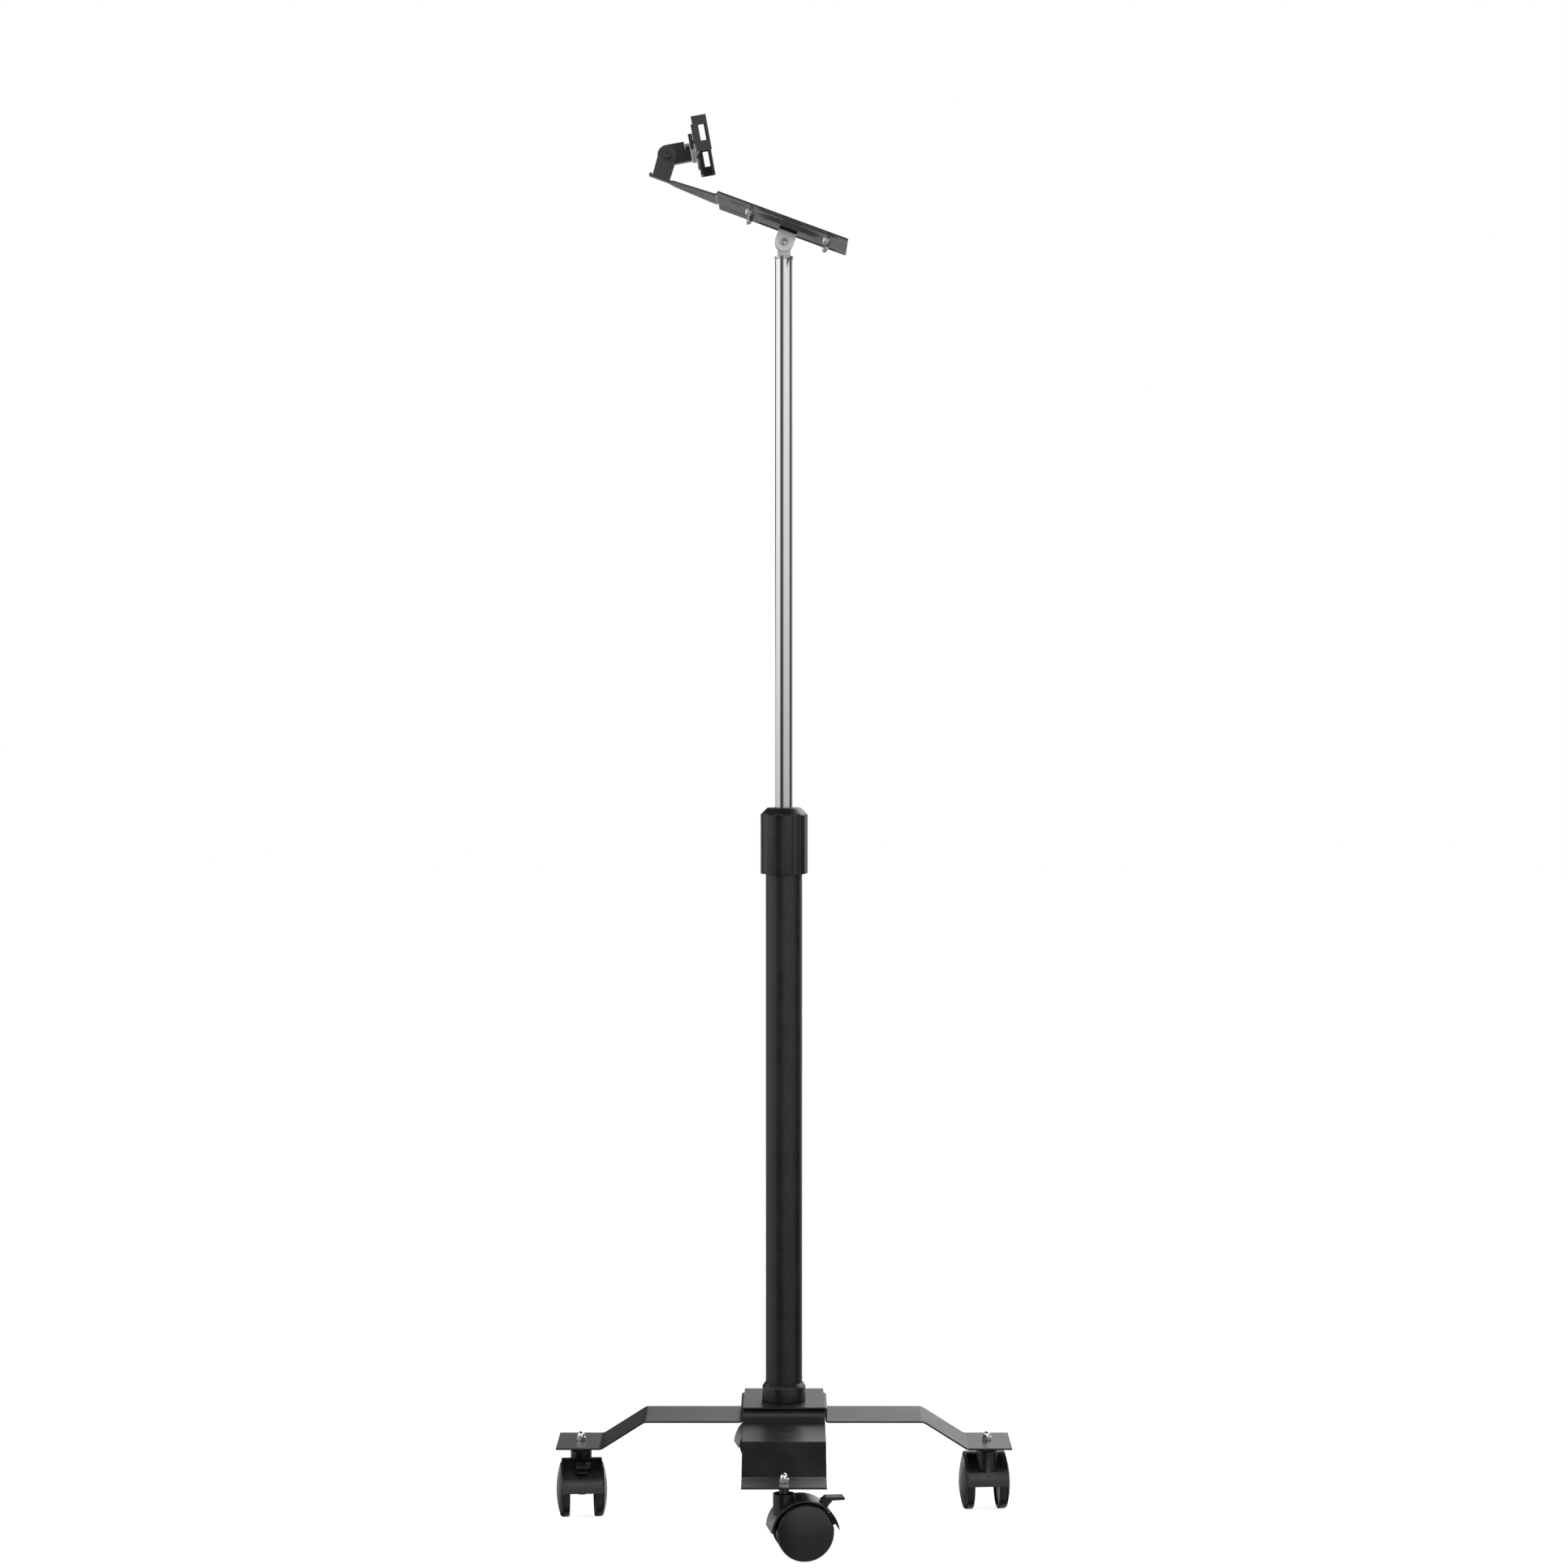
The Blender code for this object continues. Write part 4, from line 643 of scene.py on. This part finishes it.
# Acorn nuts
# Chromed domed nuts with a chamfered hexagon: four 11 mm nuts hold the casters on the pads,
# four 8 mm nuts hang under the tray. Each is one pattern, set on the points where it belongs.
nut_columns = 72
nut_dome_steps = 8
nut_chrome = skin_material("nut_chrome", (0.78, 0.78, 0.79), (0.84, 0.84, 0.85), (0.06, 0.12),
                           (1400.0, 0.000006), 160.0, metallic=1.0)


def nut_pattern(across_flats, height, hex_height, dome_radius, hole_radius):
    """A domed nut standing on Z = 0: rings of points round a chamfered hexagon, then a dome."""
    chamfer_radius = across_flats / 2 * 0.97
    builder = bmesh.new()

    def hexagon(angle):
        return across_flats / 2 / math.cos((angle + math.pi / 6) % (math.pi / 3) - math.pi / 6)

    def slope(angle):
        return max(0.0, hexagon(angle) - chamfer_radius) * math.tan(math.radians(30.0))

    rules = [lambda angle: (hole_radius, height * 0.6), lambda angle: (hole_radius, 0.0),
             lambda angle: (chamfer_radius, 0.0), lambda angle: (hexagon(angle), slope(angle)),
             lambda angle: (hexagon(angle), hex_height - slope(angle)), lambda angle: (chamfer_radius, hex_height),
             lambda angle: (dome_radius, hex_height)]
    for step in range(1, nut_dome_steps):
        rise = math.pi / 2 * step / nut_dome_steps
        rules.append(lambda angle, rise=rise: (dome_radius * math.cos(rise),
                                               hex_height + (height - hex_height) * math.sin(rise)))
    rings = []
    for rule in rules:
        ring = []
        for column in range(nut_columns):
            angle = math.tau * column / nut_columns
            radius, level = rule(angle)
            ring.append(builder.verts.new((radius * math.cos(angle), radius * math.sin(angle), level)))
        rings.append(ring)
    for low, high in zip(rings, rings[1:]):
        for column in range(nut_columns):
            following = (column + 1) % nut_columns
            builder.faces.new((low[column], low[following], high[following], high[column]))
    builder.faces.new(rings[0])
    builder.faces.new(rings[-1])
    bmesh.ops.recalc_face_normals(builder, faces=builder.faces)
    for face in builder.faces:
        face.smooth = True
    mesh = bpy.data.meshes.new("nut_pattern")
    builder.to_mesh(mesh)
    builder.free()
    mesh.set_sharp_from_angle(angle=math.radians(26.0))
    shape = bpy.data.objects.new("nut_pattern", mesh)
    bpy.context.scene.collection.objects.link(shape)
    return shape


def fastener_tree():
    """Sets one pattern on each point of the working mesh, turned by one angle set."""
    tree = bpy.data.node_groups.new("fasteners_on_points", "GeometryNodeTree")
    for label, kind in (("Geometry", "NodeSocketGeometry"), ("Pattern", "NodeSocketObject"),
                        ("Turn", "NodeSocketRotation"), ("Finish", "NodeSocketMaterial")):
        tree.interface.new_socket(label, in_out="INPUT", socket_type=kind)
    tree.interface.new_socket("Geometry", in_out="OUTPUT", socket_type="NodeSocketGeometry")
    given = tree.nodes.new("NodeGroupInput")
    result = tree.nodes.new("NodeGroupOutput")
    pattern = new_node(tree, "GeometryNodeObjectInfo")
    tree.links.new(given.outputs["Pattern"], pattern.inputs["Object"])
    put = new_node(tree, "GeometryNodeInstanceOnPoints")
    tree.links.new(given.outputs["Geometry"], put.inputs["Points"])
    tree.links.new(pattern.outputs["Geometry"], put.inputs["Instance"])
    tree.links.new(given.outputs["Turn"], put.inputs["Rotation"])
    real = new_node(tree, "GeometryNodeRealizeInstances")
    paint = new_node(tree, "GeometryNodeSetMaterial")
    tree.links.new(put.outputs[0], real.inputs[0])
    tree.links.new(real.outputs[0], paint.inputs["Geometry"])
    tree.links.new(given.outputs["Finish"], paint.inputs["Material"])
    tree.links.new(paint.outputs[0], result.inputs["Geometry"])
    return tree


fasteners_on_points = fastener_tree()


def set_nuts(name, pattern, feet, turn, finish, body, slot, replaced):
    """Puts a nut on each foot point and hangs them all on one body."""
    mesh = bpy.data.meshes.new("feet")
    mesh.from_pydata([tuple(foot) for foot in feet], [], [])
    shape = bpy.data.objects.new("feet", mesh)
    bpy.context.scene.collection.objects.link(shape)
    piece = apply_tree(shape, fasteners_on_points, name, {"Pattern": pattern, "Turn": turn, "Finish": finish})
    return settle(piece, name, body, slot, *replaced)


caster_nuts = ["caster_" + side + "_nut" for side in ("front", "right", "rear", "left")]
caster_feet = []
for nut in caster_nuts:
    low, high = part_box(nut)
    caster_feet.append(((low.x + high.x) / 2, (low.y + high.y) / 2, low.z))
caster_nut_pattern = nut_pattern(across_flats=11.0 * mm, height=11.3 * mm, hex_height=4.8 * mm,
                                 dome_radius=4.7 * mm, hole_radius=3.1 * mm)
set_nuts("caster_nuts", caster_nut_pattern, caster_feet, (0.0, 0.0, 0.0), nut_chrome, "base", "polished_steel",
         caster_nuts)
bpy.data.objects.remove(caster_nut_pattern, do_unlink=True)


# Tilt clevis
# A U bent from 2.5 mm zinc-plated steel, riveted to the tray's dish. A thick pivot bolt
# with a ring turned in its face, and a nut, clamp it on the mast's tongue.
brushed_zinc = skin_material("brushed_zinc", (0.80, 0.80, 0.81), (0.92, 0.92, 0.93), (0.24, 0.34),
                             (1300.0, 0.000020), 50.0, metallic=1.0, stretch=(1.0, 1.0, 0.15))
eased("tilt_clevis", 0.35 * mm, brushed_zinc)
bolt_radius = 5.2 * mm
bolt_ring_outer = 4.7 * mm
bolt_ring_inner = 3.6 * mm
bolt_ring_depth = 2.2 * mm
bolt_crown = 1.0 * mm
bolt_edge = 0.15 * mm
bolt_sides = 64
bolt_low, bolt_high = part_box("pivot_bolt")
bolt_length = bolt_high.y - bolt_low.y
bolt_middle = (bolt_low + bolt_high) / 2
bolt_face = [(0.0, 0.0), (bolt_ring_inner * 0.6, bolt_crown * 0.36), (bolt_ring_inner, bolt_crown),
             (bolt_ring_inner, bolt_ring_depth), (bolt_ring_outer, bolt_ring_depth), (bolt_ring_outer, 0.0),
             (bolt_radius, 0.0), (bolt_radius, bolt_length), (0.0, bolt_length)]
bolt_turn = Matrix.Rotation(-math.pi / 2, 4, "X")
bolt_place = Matrix.Translation((bolt_middle.x, bolt_low.y, bolt_middle.z)) @ bolt_turn
settle(turned(rounded_profile(bolt_face, bolt_edge), bolt_sides, brushed_zinc, bolt_place), "pivot_bolt_piece",
       "tilt_head", "satin_steel", "pivot_bolt")
eased("pivot_nut", 0.4 * mm, zinc_plate)


# Tray
# A 2 mm steel plate, powder coated, with a pressed dish, two long side slots and round
# corners. A bridge plate on top of it carries the studs of the front nuts.
pivot_height = joints["tray_tilt"]["pos_m"][2]
tray_tilt = 20.1
tray_frame = Matrix.Translation((0.0, 0.0, pivot_height)) @ Matrix.Rotation(math.radians(tray_tilt), 4, "Y")
bolt_spread = 50.0 * mm
front_bolts_along = 48.5 * mm
rear_bolts_along = -51.5 * mm
tray_nut_seat = 19.5 * mm
eased("tray_plate", 0.35 * mm, powder_coat)
eased("tray_bridge_plate", 0.4 * mm, black_oxide)
tray_nut_pattern = nut_pattern(across_flats=8.0 * mm, height=9.6 * mm, hex_height=4.6 * mm,
                               dome_radius=3.7 * mm, hole_radius=2.6 * mm)
hanging = (tray_frame.to_3x3() @ Matrix.Rotation(math.pi, 3, "X")).to_euler()
for label, along, body in (("front", front_bolts_along, "tilt_head"), ("rear", rear_bolts_along, "rear_slide")):
    feet = [tray_frame @ Vector((along, side * bolt_spread, tray_nut_seat)) for side in (-1, 1)]
    set_nuts("tray_" + label + "_nuts", tray_nut_pattern, feet, tuple(hanging), nut_chrome, body,
             "polished_steel", (label + "_nut_near", label + "_nut_far"))
bpy.data.objects.remove(tray_nut_pattern, do_unlink=True)


# Rear arm
# A tapering steel arm that slides on the tray and steps down behind it, with two ears
# at its end. A socket screw with a hexagon nut makes the hinge of the holder.
charcoal_coat = skin_material("charcoal_coat", (0.027, 0.027, 0.028), (0.035, 0.035, 0.036), (0.34, 0.38),
                              (650.0, 0.000015), 30.0, dust=0.004)
eased("rear_arm", 0.35 * mm, charcoal_coat)
eased("hinge_screw", 0.3 * mm, black_oxide)
eased("hinge_nut", 0.3 * mm, black_oxide)


# Holder
# A coated knuckle on the hinge screw, a brushed hexagon stand-off, and a cross bar on which
# two slotted jaws slide. Rubber channels line the jaws to grip without scratching.
jaw_rubber = skin_material("jaw_rubber", (0.012, 0.012, 0.012), (0.022, 0.022, 0.022), (0.6, 0.8),
                           (1800.0, 0.00003), 90.0, dust=0.01, specular=0.3)
eased("holder_knuckle", 0.5 * mm, powder_coat)
eased("holder_standoff", 0.3 * mm, brushed_zinc)
eased("holder_bar", 0.4 * mm, charcoal_coat)
for side in ("near", "far"):
    eased("jaw_" + side, 0.3 * mm, charcoal_coat)
    eased("jaw_pad_" + side, 0.3 * mm, jaw_rubber)
